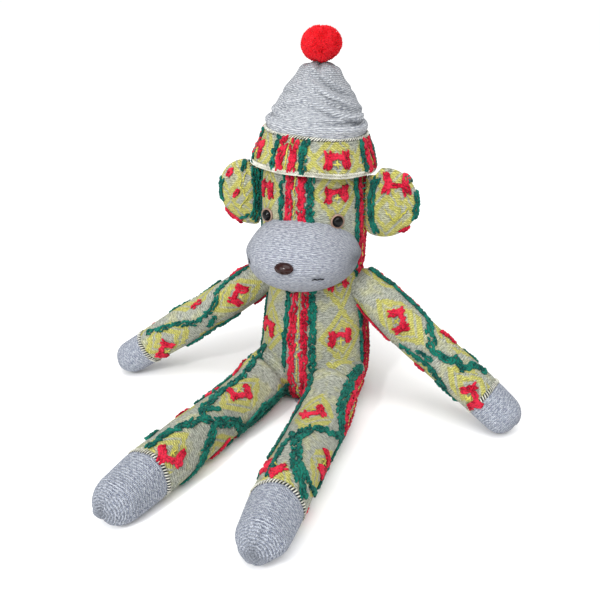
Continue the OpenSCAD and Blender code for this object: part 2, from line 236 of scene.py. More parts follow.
# %% Turn a grid into a closed mesh with a UV map in units of 100 mm
def sew(name, fabric, girth, material, low=0, high=None, caps=(True, True)):
    rings = fabric.rings[low:high]
    along = fabric.along[low:high]
    ns, nt = rings.shape[:2]
    verts = rings.reshape(-1, 3)
    i, t = np.meshgrid(np.arange(ns - 1), np.arange(nt), indexing="ij")
    i, t = i.ravel(), t.ravel()
    u = (t + 1) % nt
    quads = np.stack([i * nt + t, i * nt + u, (i + 1) * nt + u, (i + 1) * nt + t], 1)
    run = np.concatenate([[0], np.cumsum(np.linalg.norm(np.diff(rings, axis=0), axis=2).mean(1))])
    du, v = girth / nt, run - run[ns // 2] + along[ns // 2]
    quad_uv = np.stack([np.stack([t * du, v[i]], 1), np.stack([(t + 1) * du, v[i]], 1),
                        np.stack([(t + 1) * du, v[i + 1]], 1), np.stack([t * du, v[i + 1]], 1)], 1)
    faces, uv = quads.tolist(), [quad_uv.reshape(-1, 2)]
    ring = np.arange(nt)
    for cap, row, turn in ((caps[0], 0, False), (caps[1], ns - 1, True)):
        if not cap:
            continue
        verts = np.vstack([verts, rings[row].mean(0)[None]])
        pole, a, b = len(verts) - 1, row * nt + ring, row * nt + (ring + 1) % nt
        tri = [(pole, int(q), int(p)) for p, q in zip(a, b)]
        reach = float(np.linalg.norm(rings[row, 0] - verts[pole]))
        sign = 1 if turn else -1
        tri_uv = np.stack([np.stack([(ring + 0.5) * du, np.full(nt, v[row] + sign * reach)], 1),
                           np.stack([(ring + 1) * du, np.full(nt, v[row])], 1),
                           np.stack([ring * du, np.full(nt, v[row])], 1)], 1)
        if turn:
            tri = [(p, r, q) for p, q, r in tri]
            tri_uv = tri_uv[:, [0, 2, 1]]
        faces += tri
        uv.append(tri_uv.reshape(-1, 2))
    mesh = bpy.data.meshes.new(name)
    mesh.from_pydata((verts * MM).tolist(), [], faces)
    layer = mesh.uv_layers.new(name="knit")
    layer.data.foreach_set("uv", (np.vstack(uv) * 0.01).astype(np.float32).ravel())
    q = verts[quads[:, :3]]
    n = np.cross(q[:, 1] - q[:, 0], q[:, 2] - q[:, 0])
    facing = fabric.normals[low:high][:-1].reshape(-1, 3)
    if (n * facing).sum() < 0:
        mesh.flip_normals()
    mesh.shade_smooth()
    mesh.materials.append(material)
    obj = bpy.data.objects.new(name, mesh)
    scene.collection.objects.link(obj)
    print(name, "has", len(faces), "faces")
    return obj


# %% [markdown]
# ## Finishes
# The knit, the heather of its yarn and the ringed pattern are shader groups, so the parts share
# them. The groups give out only colours, masks and heights. Roughness, sheen and other numbers
# that are the same all over are set on each material's own shader.

# %% Small helpers for node trees
def math_node(tree, kind, a, b=None, c=None):
    node = tree.nodes.new("ShaderNodeMath")
    node.operation = kind
    for k, value in enumerate((a, b, c)):
        if value is None:
            continue
        if isinstance(value, (int, float)):
            node.inputs[k].default_value = value
        else:
            tree.links.new(value, node.inputs[k])
    return node.outputs[0]


def noise_node(tree, vector, scale, detail=2.0, rough=0.5, stretch=None):
    if stretch:
        m = tree.nodes.new("ShaderNodeMapping")
        m.inputs["Scale"].default_value = stretch
        tree.links.new(vector, m.inputs["Vector"])
        vector = m.outputs[0]
    node = tree.nodes.new("ShaderNodeTexNoise")
    node.inputs["Scale"].default_value = scale
    node.inputs["Detail"].default_value = detail
    node.inputs["Roughness"].default_value = rough
    tree.links.new(vector, node.inputs["Vector"])
    return node.outputs["Fac"]


def smooth_band(tree, value, low, high, soft):
    """1 where value is between low and high, with soft edges."""
    up = tree.nodes.new("ShaderNodeMapRange")
    up.interpolation_type = "SMOOTHSTEP"
    up.inputs["From Min"].default_value, up.inputs["From Max"].default_value = low - soft, low + soft
    tree.links.new(value, up.inputs["Value"])
    down = tree.nodes.new("ShaderNodeMapRange")
    down.interpolation_type = "SMOOTHSTEP"
    down.inputs["From Min"].default_value, down.inputs["From Max"].default_value = high + soft, high - soft
    tree.links.new(value, down.inputs["Value"])
    return math_node(tree, "MULTIPLY", up.outputs[0], down.outputs[0])


def mixed(tree, factor, a, b):
    node = tree.nodes.new("ShaderNodeMix")
    node.data_type = "RGBA"
    for socket, value in ((node.inputs[0], factor), (node.inputs[6], a), (node.inputs[7], b)):
        if isinstance(value, (tuple, list)):
            socket.default_value = (*value, 1.0)
        elif isinstance(value, (int, float)):
            socket.default_value = value
        else:
            tree.links.new(value, socket)
    return node.outputs[2]


def srgb(*shade):
    """A colour of 0 to 255 as the eye sees it, turned into light."""
    parts = (c / 255 for c in shade)
    return tuple(c / 12.92 if c <= 0.04045 else ((c + 0.055) / 1.055) ** 2.4 for c in parts)


def new_group(name, inputs, outputs):
    tree = bpy.data.node_groups.new(name, "ShaderNodeTree")
    for label, kind in inputs:
        tree.interface.new_socket(label, in_out="INPUT", socket_type=kind)
    for label, kind in outputs:
        tree.interface.new_socket(label, in_out="OUTPUT", socket_type=kind)
    return tree, tree.nodes.new("NodeGroupInput").outputs, tree.nodes.new("NodeGroupOutput").inputs


# %% [markdown]
# ### Jersey stitches
# Stockinette is columns of small V shapes. Each column is a wale and each row a course. The V
# comes from sliding the rows by how far a point is from the middle of its wale. The wrong side,
# called purl, shows the rows as ridges instead. Vector is the UV map in millimetres.

# %% Height of the knit
knit, gin, gout = new_group("JerseyStitches", [("Vector", "NodeSocketVector"), ("Wale", "NodeSocketFloat"),
                                               ("Course", "NodeSocketFloat"), ("Purl", "NodeSocketFloat")],
                            [("Height", "NodeSocketFloat"), ("Row", "NodeSocketFloat")])
split = knit.nodes.new("ShaderNodeSeparateXYZ")
knit.links.new(gin["Vector"], split.inputs[0])
drift = math_node(knit, "SUBTRACT", noise_node(knit, gin["Vector"], 0.35), 0.5)
wobble = math_node(knit, "MULTIPLY", drift, 1.1)
across = math_node(knit, "DIVIDE", math_node(knit, "ADD", split.outputs[0], wobble), gin["Wale"])
off_middle = math_node(knit, "ABSOLUTE", math_node(knit, "SUBTRACT", math_node(knit, "FRACT", across), 0.5))
rows = math_node(knit, "DIVIDE", math_node(knit, "ADD", split.outputs[1], wobble), gin["Course"])
slanted = math_node(knit, "ADD", rows, math_node(knit, "MULTIPLY", off_middle, 1.5))
leg = math_node(knit, "SINE", math_node(knit, "MULTIPLY", slanted, 2 * math.pi))
groove = math_node(knit, "SINE", math_node(knit, "MULTIPLY", off_middle, 2 * math.pi))
plain_side = math_node(knit, "MULTIPLY_ADD", leg, 0.35, math_node(knit, "MULTIPLY", groove, 0.65))
ridge = math_node(knit, "SINE", math_node(knit, "MULTIPLY", rows, 2 * math.pi))
purl_side = math_node(knit, "MULTIPLY_ADD", ridge, 0.45, math_node(knit, "MULTIPLY_ADD", groove, 0.15, 0.35))
apart = math_node(knit, "SUBTRACT", purl_side, plain_side)
knit.links.new(math_node(knit, "MULTIPLY_ADD", apart, gin["Purl"], plain_side), gout["Height"])
knit.links.new(math_node(knit, "MULTIPLY_ADD", leg, 0.5, 0.5), gout["Row"])

# %% [markdown]
# ### Heather yarn
# Heather is spun from fibres of two shades, so every row of stitches runs lighter and darker in
# short streaks. Two noises stretched along the courses do it, one fine and one broad.

# %% Colour of the heather
heather, gin, gout = new_group("HeatherYarn", [("Vector", "NodeSocketVector"), ("Light", "NodeSocketColor"),
                                               ("Middle", "NodeSocketColor"), ("Dark", "NodeSocketColor")],
                               [("Color", "NodeSocketColor")])
fine = noise_node(heather, gin["Vector"], 1.0, 3.0, 0.7, (0.28, 0.95, 1.0))
broad = noise_node(heather, gin["Vector"], 1.0, 2.0, 0.5, (0.08, 0.40, 1.0))
ramp = heather.nodes.new("ShaderNodeMapRange")
ramp.inputs["From Min"].default_value, ramp.inputs["From Max"].default_value = 0.40, 0.60
heather.links.new(fine, ramp.inputs["Value"])
base = mixed(heather, ramp.outputs[0], gin["Dark"], gin["Light"])
calm = heather.nodes.new("ShaderNodeMapRange")
calm.inputs["From Min"].default_value, calm.inputs["From Max"].default_value = 0.3, 0.7
calm.inputs["To Min"].default_value, calm.inputs["To Max"].default_value = 0.10, 0.50
heather.links.new(broad, calm.inputs["Value"])
heather.links.new(mixed(heather, calm.outputs[0], base, gin["Middle"]), gout["Color"])

# %% [markdown]
# ### Rings in the pattern
# The sock's pattern repeats as a net of stepped diamonds, two thin yellow lines each. The distance
# |x| / width + |y| / height is even along a diamond, so a band of it is a ring. Every other column
# of the net can be shifted by half a repeat.

# %% Mask of the yellow rings
net, gin, gout = new_group("DiamondNet", [("Vector", "NodeSocketVector"), ("Across", "NodeSocketFloat"),
                                          ("Repeat", "NodeSocketFloat"), ("Shift", "NodeSocketFloat")],
                           [("Ring", "NodeSocketFloat"), ("Twill", "NodeSocketFloat")])
split = net.nodes.new("ShaderNodeSeparateXYZ")
net.links.new(gin["Vector"], split.inputs[0])
DIAMOND_WIDTH, DIAMOND_HEIGHT = 18.0, 22.0
uneven = math_node(net, "SUBTRACT", noise_node(net, gin["Vector"], 0.16, 2.0, 0.6), 0.5)
jig = math_node(net, "MULTIPLY", uneven, 7.0)
cu = math_node(net, "DIVIDE", math_node(net, "ADD", split.outputs[0], jig), gin["Across"])
column = math_node(net, "ROUND", cu)
from_column = math_node(net, "ABSOLUTE", math_node(net, "SUBTRACT", cu, column))
dx = math_node(net, "MULTIPLY", from_column, gin["Across"])
odd = math_node(net, "PINGPONG", column, 1.0)
vy = math_node(net, "SUBTRACT", split.outputs[1], math_node(net, "MULTIPLY", odd, gin["Shift"]))
cv = math_node(net, "DIVIDE", math_node(net, "ADD", vy, jig), gin["Repeat"])
from_row = math_node(net, "ABSOLUTE", math_node(net, "SUBTRACT", cv, math_node(net, "ROUND", cv)))
dy = math_node(net, "MULTIPLY", from_row, gin["Repeat"])
reach = math_node(net, "ADD", math_node(net, "DIVIDE", dx, DIAMOND_WIDTH),
                  math_node(net, "DIVIDE", dy, DIAMOND_HEIGHT))
inner = smooth_band(net, reach, 0.46, 0.78, 0.05)
outer = smooth_band(net, reach, 0.92, 1.24, 0.05)
ring = math_node(net, "MAXIMUM", inner, outer)
diagonal = math_node(net, "ADD", math_node(net, "MULTIPLY", split.outputs[0], 1.9),
                     math_node(net, "MULTIPLY", split.outputs[1], 2.9))
twill = math_node(net, "SINE", diagonal)
patch = noise_node(net, gin["Vector"], 0.45, 3.0, 0.6)
worn = math_node(net, "MULTIPLY_ADD", patch, 1.1, 0.22)
net.links.new(math_node(net, "MULTIPLY", ring, worn), gout["Ring"])
net.links.new(twill, gout["Twill"])
print("shader groups:", [g.name for g in bpy.data.node_groups])

# %% [markdown]
# ### Fabric and yarn materials
# Worn jersey scatters light softly, so each fabric is rough, with some sheen at its edges and a
# fine bump from its stitches. Where the stitches dip, the base colour is darkened as painted shade
# in the grooves. The patterned knit is the same jersey in olive and grey, with the rings worked in
# yellow and short dark twill lines across them.

# %% Knit materials
def shader_of(material):
    return next(n for n in material.node_tree.nodes if n.type == "BSDF_PRINCIPLED")


def fabric_base(name, rough=0.92, sheen=0.06):
    material = bpy.data.materials.new(name)
    material.use_nodes = True
    shader = shader_of(material)
    shader.inputs["Roughness"].default_value = rough
    shader.inputs["Sheen Weight"].default_value = sheen
    shader.inputs["Sheen Roughness"].default_value = 0.5
    shader.inputs["Specular IOR Level"].default_value = 0.1
    return material, material.node_tree, shader


def knit_vector(tree):
    """The knit UV map in millimetres."""
    uv = tree.nodes.new("ShaderNodeUVMap")
    uv.uv_map = "knit"
    scale = tree.nodes.new("ShaderNodeVectorMath")
    scale.operation = "SCALE"
    scale.inputs["Scale"].default_value = 100.0
    tree.links.new(uv.outputs[0], scale.inputs[0])
    return scale.outputs[0]


def use_group(tree, group, **values):
    node = tree.nodes.new("ShaderNodeGroup")
    node.node_tree = group
    for label, value in values.items():
        if isinstance(value, bpy.types.NodeSocket):
            tree.links.new(value, node.inputs[label])
        elif isinstance(value, (tuple, list)):
            node.inputs[label].default_value = (*value, 1.0)
        else:
            node.inputs[label].default_value = value
    return node.outputs


def bump_from(tree, shader, height, distance, strength=1.0):
    bump = tree.nodes.new("ShaderNodeBump")
    bump.inputs["Strength"].default_value = strength
    bump.inputs["Distance"].default_value = distance
    tree.links.new(height, bump.inputs["Height"])
    tree.links.new(bump.outputs[0], shader.inputs["Normal"])


def grey_knit(name, light, middle, dark, wale, course, relief, purl):
    material, tree, shader = fabric_base(name)
    uv = knit_vector(tree)
    jersey = use_group(tree, knit, Vector=uv, Wale=wale, Course=course, Purl=purl)
    colour = use_group(tree, heather, Vector=uv, Light=light, Middle=middle, Dark=dark)["Color"]
    # painted shade: where the stitches dip, the colour is mixed toward a darker copy of the middle colour
    shade = math_node(tree, "MULTIPLY_ADD", jersey["Height"], -0.85, 0.62)
    colour = mixed(tree, shade, colour, tuple(c * 0.45 for c in middle))
    tree.links.new(colour, shader.inputs["Base Color"])
    bump_from(tree, shader, jersey["Height"], relief)
    return material


grey = grey_knit("heather grey jersey", srgb(214, 219, 228), srgb(160, 167, 180), srgb(86, 94, 118),
                 wale=2.7, course=2.2, relief=0.0011, purl=0.3)
hat_grey = grey_knit("light heather jersey", srgb(220, 223, 226), srgb(180, 184, 190), srgb(104, 109, 124),
                     wale=1.7, course=1.6, relief=0.0008, purl=0.7)
muzzle_grey = grey_knit("muzzle jersey", srgb(204, 208, 216), srgb(166, 170, 180), srgb(100, 106, 124),
                        wale=1.8, course=1.9, relief=0.0008, purl=0.75)


def patterned_knit(name, across, repeat, shift, u0, v0):
    """across and repeat are the pattern's repeats in mm; u0, v0 put a ring's centre there."""
    material, tree, shader = fabric_base(name)
    uv = knit_vector(tree)
    jersey = use_group(tree, knit, Vector=uv, Wale=2.0, Course=1.7, Purl=0.35)
    base = use_group(tree, heather, Vector=uv, Light=srgb(226, 226, 192), Middle=srgb(192, 192, 148),
                     Dark=srgb(118, 122, 106))["Color"]
    grey_side = use_group(tree, heather, Vector=uv, Light=srgb(214, 217, 204), Middle=srgb(172, 176, 160),
                          Dark=srgb(104, 109, 108))["Color"]
    cloud = noise_node(tree, uv, 0.05, 2.0, 0.6)
    shade = smooth_band(tree, cloud, 0.47, 2.0, 0.06)
    base = mixed(tree, shade, base, grey_side)
    place = tree.nodes.new("ShaderNodeVectorMath")
    place.operation = "SUBTRACT"
    place.inputs[1].default_value = (u0, v0, 0)
    tree.links.new(uv, place.inputs[0])
    pattern = use_group(tree, net, Vector=place.outputs[0], Across=across, Repeat=repeat, Shift=shift)
    yellow = use_group(tree, heather, Vector=uv, Light=srgb(240, 234, 104), Middle=srgb(222, 215, 84),
                       Dark=srgb(166, 162, 60))["Color"]
    colour = mixed(tree, pattern["Ring"], base, yellow)
    lines = math_node(tree, "MULTIPLY", smooth_band(tree, pattern["Twill"], 0.55, 2.0, 0.12), pattern["Ring"])
    colour = mixed(tree, math_node(tree, "MULTIPLY", lines, 0.55), colour, srgb(104, 104, 62))
    # painted shade: where the stitches dip, the colour is mixed toward a dark olive, for the grooves between
    # them
    shade = math_node(tree, "MULTIPLY_ADD", jersey["Height"], -0.75, 0.52)
    colour = mixed(tree, shade, colour, srgb(92, 94, 68))
    tree.links.new(colour, shader.inputs["Base Color"])
    relief = math_node(tree, "MULTIPLY_ADD", pattern["Ring"], 0.7, jersey["Height"])
    bump_from(tree, shader, relief, 0.0009)
    return material


def wool(name, main, light, dark, scale=900.0, rough=0.95, sheen=0.08):
    """Loose yarn: fine fibres along it and slow shifts of shade."""
    material, tree, shader = fabric_base(name, rough, sheen)
    place = tree.nodes.new("ShaderNodeTexCoord").outputs["Object"]
    fibres = noise_node(tree, place, scale, 3.0, 0.65)
    patches = noise_node(tree, place, 130.0, 2.0, 0.5)
    colour = mixed(tree, smooth_band(tree, fibres, 0.52, 2.0, 0.10), dark, main)
    lighter = math_node(tree, "MULTIPLY", smooth_band(tree, patches, 0.50, 2.0, 0.12), 0.55)
    colour = mixed(tree, lighter, colour, light)
    tree.links.new(colour, shader.inputs["Base Color"])
    bump_from(tree, shader, fibres, 0.0007)
    return material


green_wool = wool("green float yarn", srgb(8, 98, 84), srgb(24, 126, 106), srgb(2, 46, 46))
red_wool = wool("crimson float yarn", srgb(206, 18, 52), srgb(228, 50, 78), srgb(112, 4, 26))
yellow_wool = wool("yellow float yarn", srgb(206, 200, 84), srgb(226, 220, 110), srgb(140, 138, 58))
pompom_wool = wool("red pom-pom wool", srgb(252, 6, 30), srgb(255, 40, 56), srgb(214, 0, 16),
                    scale=1400.0, rough=1.0, sheen=0.10)
pale_cotton = wool("pale overlock thread", srgb(226, 224, 208), srgb(240, 240, 230), srgb(160, 160, 146),
                    scale=1500.0)
# dark thread for the mouth tucks, also used for the painted shade in the gaps of the ladder seams
dark_thread_and_gap_shade = wool("dark thread and gap shade", srgb(40, 42, 46), srgb(62, 64, 70), srgb(20, 21, 24), 1500.0)
print("materials:", [m.name for m in bpy.data.materials])

# %% [markdown]
# ### Plastic of the eyes and nose
# Safety eyes are moulded: a glossy black dome in a bronze rim. Slow waviness in the gloss and a
# few fine scratches keep them from looking like glass beads.

# %% Plastic materials
def plastic(name, main, shade, rough, coat):
    material = bpy.data.materials.new(name)
    material.use_nodes = True
    tree, shader = material.node_tree, shader_of(material)
    place = tree.nodes.new("ShaderNodeTexCoord").outputs["Object"]
    tree.links.new(mixed(tree, noise_node(tree, place, 300.0, 3.0), shade, main), shader.inputs["Base Color"])
    scuff = noise_node(tree, place, 900.0, 4.0, 0.7)
    tree.links.new(math_node(tree, "MULTIPLY_ADD", scuff, 0.12, rough - 0.06), shader.inputs["Roughness"])
    shader.inputs["Coat Weight"].default_value = coat
    shader.inputs["Specular IOR Level"].default_value = 0.16
    shader.inputs["Coat Roughness"].default_value = 0.06
    bump_from(tree, shader, noise_node(tree, place, 420.0, 2.0), 0.00006)
    return material


pupil_black = plastic("black eye dome", srgb(9, 7, 8), srgb(3, 3, 4), 0.09, 0.12)
rim_bronze = plastic("bronze eye rim", srgb(158, 130, 114), srgb(120, 94, 80), 0.28, 0.5)
nose_brown = plastic("brown nose plastic", srgb(46, 18, 15), srgb(26, 8, 7), 0.26, 0.2)
washer_white = plastic("white washer plastic", srgb(232, 232, 228), srgb(206, 206, 202), 0.5, 0.0)

# %% [markdown]
# ## Float yarns, laid by Geometry Nodes
# Inside a patterned sock every colour that isn't in use is carried as a float, and turned inside
# out these floats stand up as thick, ragged stitches. One short plump stitch is instanced on
# points that carry a direction along the strand and the fabric's normal. The tree turns it to
# them, jitters it with a fixed seed, realizes it and gives it its material.

# %% One plump stitch, and the tree that lays it
def rope_mesh(name, length, width, height, sides, steps, bow):
    """A short bowed rope along +X that lies on Z = 0."""
    verts, faces = [], []
    for i in range(steps + 1):
        f = i / steps
        fat = 0.30 + 0.70 * math.sin(math.pi * min(max(f, 0.04), 0.96)) ** 0.6
        x, lift = (f - 0.5) * length, bow * math.sin(math.pi * f)
        for k in range(sides):
            a = 2 * math.pi * k / sides + 0.5 * f
            verts.append((x * MM, width / 2 * fat * math.cos(a) * MM,
                          (lift + height / 2 * fat * math.sin(a)) * MM))
    for i in range(steps):
        for k in range(sides):
            j = (k + 1) % sides
            faces.append((i * sides + k, (i + 1) * sides + k, (i + 1) * sides + j, i * sides + j))
    faces.append(tuple(range(sides)))
    faces.append(tuple(steps * sides + k for k in reversed(range(sides))))
    mesh = bpy.data.meshes.new(name)
    mesh.from_pydata(verts, [], faces)
    mesh.shade_smooth()
    return bpy.data.objects.new(name, mesh)


def laying_tree(name):
    """Instances Piece on the points, turned to their along and up vectors."""
    tree = bpy.data.node_groups.new(name, "GeometryNodeTree")
    io = tree.interface
    io.new_socket("Points", in_out="INPUT", socket_type="NodeSocketGeometry")
    for label, kind in (("Piece", "NodeSocketObject"), ("Finish", "NodeSocketMaterial"),
                        ("Seed", "NodeSocketInt"), ("Turn jitter", "NodeSocketFloat"),
                        ("Smallest", "NodeSocketFloat"), ("Largest", "NodeSocketFloat")):
        io.new_socket(label, in_out="INPUT", socket_type=kind)
    io.new_socket("Geometry", in_out="OUTPUT", socket_type="NodeSocketGeometry")
    n, link = tree.nodes, tree.links.new
    given, out = n.new("NodeGroupInput").outputs, n.new("NodeGroupOutput").inputs

    def stored(label):
        node = n.new("GeometryNodeInputNamedAttribute")
        node.data_type = "FLOAT_VECTOR"
        node.inputs["Name"].default_value = label
        return node.outputs["Attribute"]

    first = n.new("FunctionNodeAlignRotationToVector")
    first.axis = "Z"
    link(stored("up"), first.inputs["Vector"])
    second = n.new("FunctionNodeAlignRotationToVector")
    second.axis, second.pivot_axis = "X", "Z"
    link(first.outputs[0], second.inputs["Rotation"])
    link(stored("along"), second.inputs["Vector"])
    jitter = n.new("FunctionNodeRandomValue")
    jitter.data_type = "FLOAT_VECTOR"
    low = n.new("ShaderNodeCombineXYZ")
    high = n.new("ShaderNodeCombineXYZ")
    minus = math_node(tree, "MULTIPLY", given["Turn jitter"], -1.0)
    for axis, share in (("X", 1.0), ("Y", 0.5), ("Z", 1.0)):
        link(math_node(tree, "MULTIPLY", minus, share), low.inputs[axis])
        link(math_node(tree, "MULTIPLY", given["Turn jitter"], share), high.inputs[axis])
    link(low.outputs[0], jitter.inputs["Min"])
    link(high.outputs[0], jitter.inputs["Max"])
    link(given["Seed"], jitter.inputs["Seed"])
    angles = n.new("FunctionNodeEulerToRotation")
    link(jitter.outputs["Value"], angles.inputs[0])
    turned = n.new("FunctionNodeRotateRotation")
    turned.rotation_space = "LOCAL"
    link(second.outputs[0], turned.inputs[0])
    link(angles.outputs[0], turned.inputs[1])
    size = n.new("FunctionNodeRandomValue")
    size.data_type = "FLOAT"
    link(given["Smallest"], size.inputs[2])
    link(given["Largest"], size.inputs[3])
    link(math_node(tree, "ADD", given["Seed"], 17.0), size.inputs["Seed"])
    info = n.new("GeometryNodeObjectInfo")
    link(given["Piece"], info.inputs["Object"])
    info.inputs["As Instance"].default_value = True
    lay = n.new("GeometryNodeInstanceOnPoints")
    link(given["Points"], lay.inputs["Points"])
    link(info.outputs["Geometry"], lay.inputs["Instance"])
    link(turned.outputs[0], lay.inputs["Rotation"])
    link(size.outputs[1], lay.inputs["Scale"])
    real = n.new("GeometryNodeRealizeInstances")
    link(lay.outputs[0], real.inputs[0])
    finish = n.new("GeometryNodeSetMaterial")
    link(real.outputs[0], finish.inputs["Geometry"])
    link(given["Finish"], finish.inputs["Material"])
    link(finish.outputs[0], out["Geometry"])
    return tree


yarn_tree = laying_tree("LayFloatYarn")
yarn_stitch = rope_mesh("yarn_stitch", 4.6, 2.5, 2.2, 6, 4, 0.75)
fine_stitch = rope_mesh("fine_stitch", 3.6, 1.3, 1.1, 5, 3, 0.35)
ladder_bar = rope_mesh("ladder_bar", 4.4, 1.15, 1.0, 5, 3, 0.5)
print("one stitch has", len(yarn_stitch.data.polygons), "faces")


# %% Bake instances laid on points into one plain mesh
def lay_on_points(name, points, along, up, piece, finish, seed, jitter=0.25, smallest=0.8, largest=1.15):
    mesh = bpy.data.meshes.new(name + "_points")
    mesh.from_pydata((np.asarray(points) * MM).tolist(), [], [])
    for label, values in (("along", along), ("up", up)):
        layer = mesh.attributes.new(label, "FLOAT_VECTOR", "POINT")
        layer.data.foreach_set("vector", np.asarray(values, np.float32).ravel())
    holder = bpy.data.objects.new(name + "_points", mesh)
    scene.collection.objects.link(holder)
    modifier = holder.modifiers.new("laying", "NODES")
    modifier.node_group = yarn_tree
    wanted = {"Piece": piece, "Finish": finish, "Seed": seed, "Turn jitter": jitter,
              "Smallest": smallest, "Largest": largest}
    for item in modifier.node_group.interface.items_tree:
        if item.in_out == "INPUT" and item.name in wanted:
            modifier[item.identifier] = wanted[item.name]
    bpy.context.view_layer.update()
    done = holder.evaluated_get(bpy.context.evaluated_depsgraph_get())
    plain = bpy.data.meshes.new_from_object(done)
    plain.name = name
    holder.modifiers.clear()
    bpy.data.objects.remove(holder)
    bpy.data.meshes.remove(mesh)
    for label in ("along", "up"):
        if label in plain.attributes:
            plain.attributes.remove(plain.attributes[label])
    plain.shade_smooth()
    obj = bpy.data.objects.new(name, plain)
    scene.collection.objects.link(obj)
    print(name, len(points), "stitches,", len(plain.polygons), "faces")
    return obj


# %% [markdown]
# A strand is drawn as a path of (distance along, angle round) on its fabric. A wide float is
# several strands side by side. Each stitch wanders a little, and now and then one is missing,
# which leaves the gaps that show the knit through the yarn.

# %% Strands on a fabric
class Yarns:
    """Collects stitches of one colour for one body."""

    def __init__(self, name, finish, body, seed):
        self.name, self.finish, self.body, self.seed = name, finish, body, seed
        self.rng = np.random.default_rng(seed)
        self.points, self.along, self.up = [], [], []

    def path(self, fabric, path, width, pitch=2.6, spread=1.9, ragged=0.65, skip=0.09, lift=0.4):
        path = np.array(path, float)
        place, _ = fabric.at(path[:, 0], path[:, 1])
        step = np.linalg.norm(np.diff(place, axis=0), axis=1)
        length = np.concatenate([[0], np.cumsum(step)])
        if length[-1] < pitch:
            return
        strands = max(1, round(width / spread))
        for k in range(strands):
            offset = (k - (strands - 1) / 2) * spread
            count = int(length[-1] / pitch) + 1
            d = (np.arange(count) + self.rng.uniform(0, 1)) * pitch
            d = d[d < length[-1]]
            d = np.clip(d + self.rng.normal(0, 0.35, len(d)), 0, length[-1])
            keep = self.rng.random(len(d)) > skip
            d = d[keep]
            if len(d) < 2:
                continue

            def centre(x):
                return fabric.at(np.interp(x, length, path[:, 0]), np.interp(x, length, path[:, 1]))

            p, n = centre(d)
            q, _ = centre(np.minimum(d + 1.0, length[-1] + 1.0))
            r, _ = centre(np.maximum(d - 1.0, 0))
            tangent = q - r
            tangent /= np.linalg.norm(tangent, axis=1, keepdims=True) + 1e-9
            side = np.cross(n, tangent)
            wander = offset + self.rng.normal(0, ragged, len(d))
            height = lift + self.rng.normal(0, 0.12, len(d))
            self.points.append(p + side * wander[:, None] + n * height[:, None])
            self.along.append(tangent + side * self.rng.normal(0, 0.42, len(d))[:, None])
            self.up.append(n)

    def lay(self, piece=None, jitter=0.22):
        return lay_on_points(self.name, np.vstack(self.points), np.vstack(self.along), np.vstack(self.up),
                             piece or yarn_stitch, self.finish, self.seed, jitter)


# %% [markdown]
# ## The motif
# In the middle of each ring sits a small crimson mark, two uprights joined by a bar. It is given
# in millimetres across and along the sock, and turned to lie as the knit lies there.

# %% Strokes of the motif
MARK = [([(-8.6, -6.2), (-6.8, 0), (-8.0, 5.8)], 5.4), ([(8.4, -5.8), (6.8, 0), (7.8, 6.2)], 5.4),
        ([(-6.0, 2.0), (0, 3.4), (6.0, 2.0)], 3.6)]


def mark_on(yarns, fabric, s, angle, radius, size=1.0, turn=0.0, flower=None):
    c, w = math.cos(math.radians(turn)), math.sin(math.radians(turn))
    for points, width in MARK:
        path = []
        for x, y in points:
            x, y = x * size, y * size
            path.append((s + w * x + c * y, angle + math.degrees((c * x - w * y) / radius)))
        yarns.path(fabric, path, width * size, pitch=2.1, ragged=0.35, skip=0.0)
    if flower:
        for turn_ in (0, 90):
            dx, dy = (2.6, 0) if turn_ else (0, 2.6)
            flower.path(fabric, [(s - 2.5 * c - dy, angle + math.degrees((2.5 * w - dx) / radius)),
                                 (s - 2.5 * c + dy, angle + math.degrees((2.5 * w + dx) / radius))], 2.4, 1.8,
                        ragged=0.2, skip=0, lift=0.8)

# %% [markdown]
# ## Torso
# One sock tube is the body. It is closed flat under the seat, fullest at the belly and gathered at
# the neck, where the head is sewn on. Angle 0 is the front and 90 the monkey's left.

# %% Rings of the torso
def turned_ring(centre, radius_x, radius_y, z, count):
    a = np.arange(count) / count * 2 * math.pi
    x, y = centre[0] + radius_x * np.sin(a), centre[1] - radius_y * np.cos(a)
    return np.stack([x, y, np.full(count, z)], 1)


def arc_length(points):
    return np.concatenate([[0], np.cumsum(np.linalg.norm(np.diff(points, axis=0), axis=1))])


FLOOR = 0.35
torso_profile = np.array([(4, 0.5), (16, 0.5), (28, 0.7), (36.5, 2.4), (42.5, 7), (46.2, 15), (47.8, 25),
                          (48.2, 36), (47.8, 48), (47.0, 60), (45.8, 72), (44.4, 83), (43.0, 93),
                          (42.0, 102), (41.4, 109), (40.6, 115), (39.4, 120.6), (30, 121.0),
                          (16, 121.1), (4, 121.1)])
torso_along = arc_length(torso_profile)
torso_along += 15 - torso_along[5]
torso = Fabric([turned_ring((0, 0), r, r, z, 56) for r, z in torso_profile], torso_along)
torso = puff(torso.refined(2, 1), list(range(0, 3)) + list(range(32, 39)), 3.0)
torso.lumps(26, 0.5, 3)


def rest_on_floor(fabric, low=FLOOR, soft=2.0):
    z = fabric.rings[..., 2]
    eased = low + soft * np.exp(np.minimum((z - low - soft) / soft, 0))
    fabric.rings[..., 2] = np.where(z < low + soft, eased, z)
    fabric.measure()


for angle in np.arange(0, 360, 24):
    torso.dent(116, angle + 6, 9, 4.5, 1.1)
for angle in (-52, 40):
    torso.dent(32, angle, 9, 22, -4.5)
torso = torso.refined(2, 3)
rest_on_floor(torso)
print("torso spans", torso.rings.min((0, 1)).round(1), torso.rings.max((0, 1)).round(1))

# %% Torso fabric, and the seam at the neck
TORSO_GIRTH = 298.0
torso_knit = patterned_knit("torso knit", TORSO_GIRTH / 4, 50.0, 0.0, TORSO_GIRTH / 8, 66.0)
torso_piece = sew("torso_fabric", torso, TORSO_GIRTH, torso_knit)
NECK_BLEND = dict(start=(0, 0, 0.108), end=(0, 0, 0.1205))


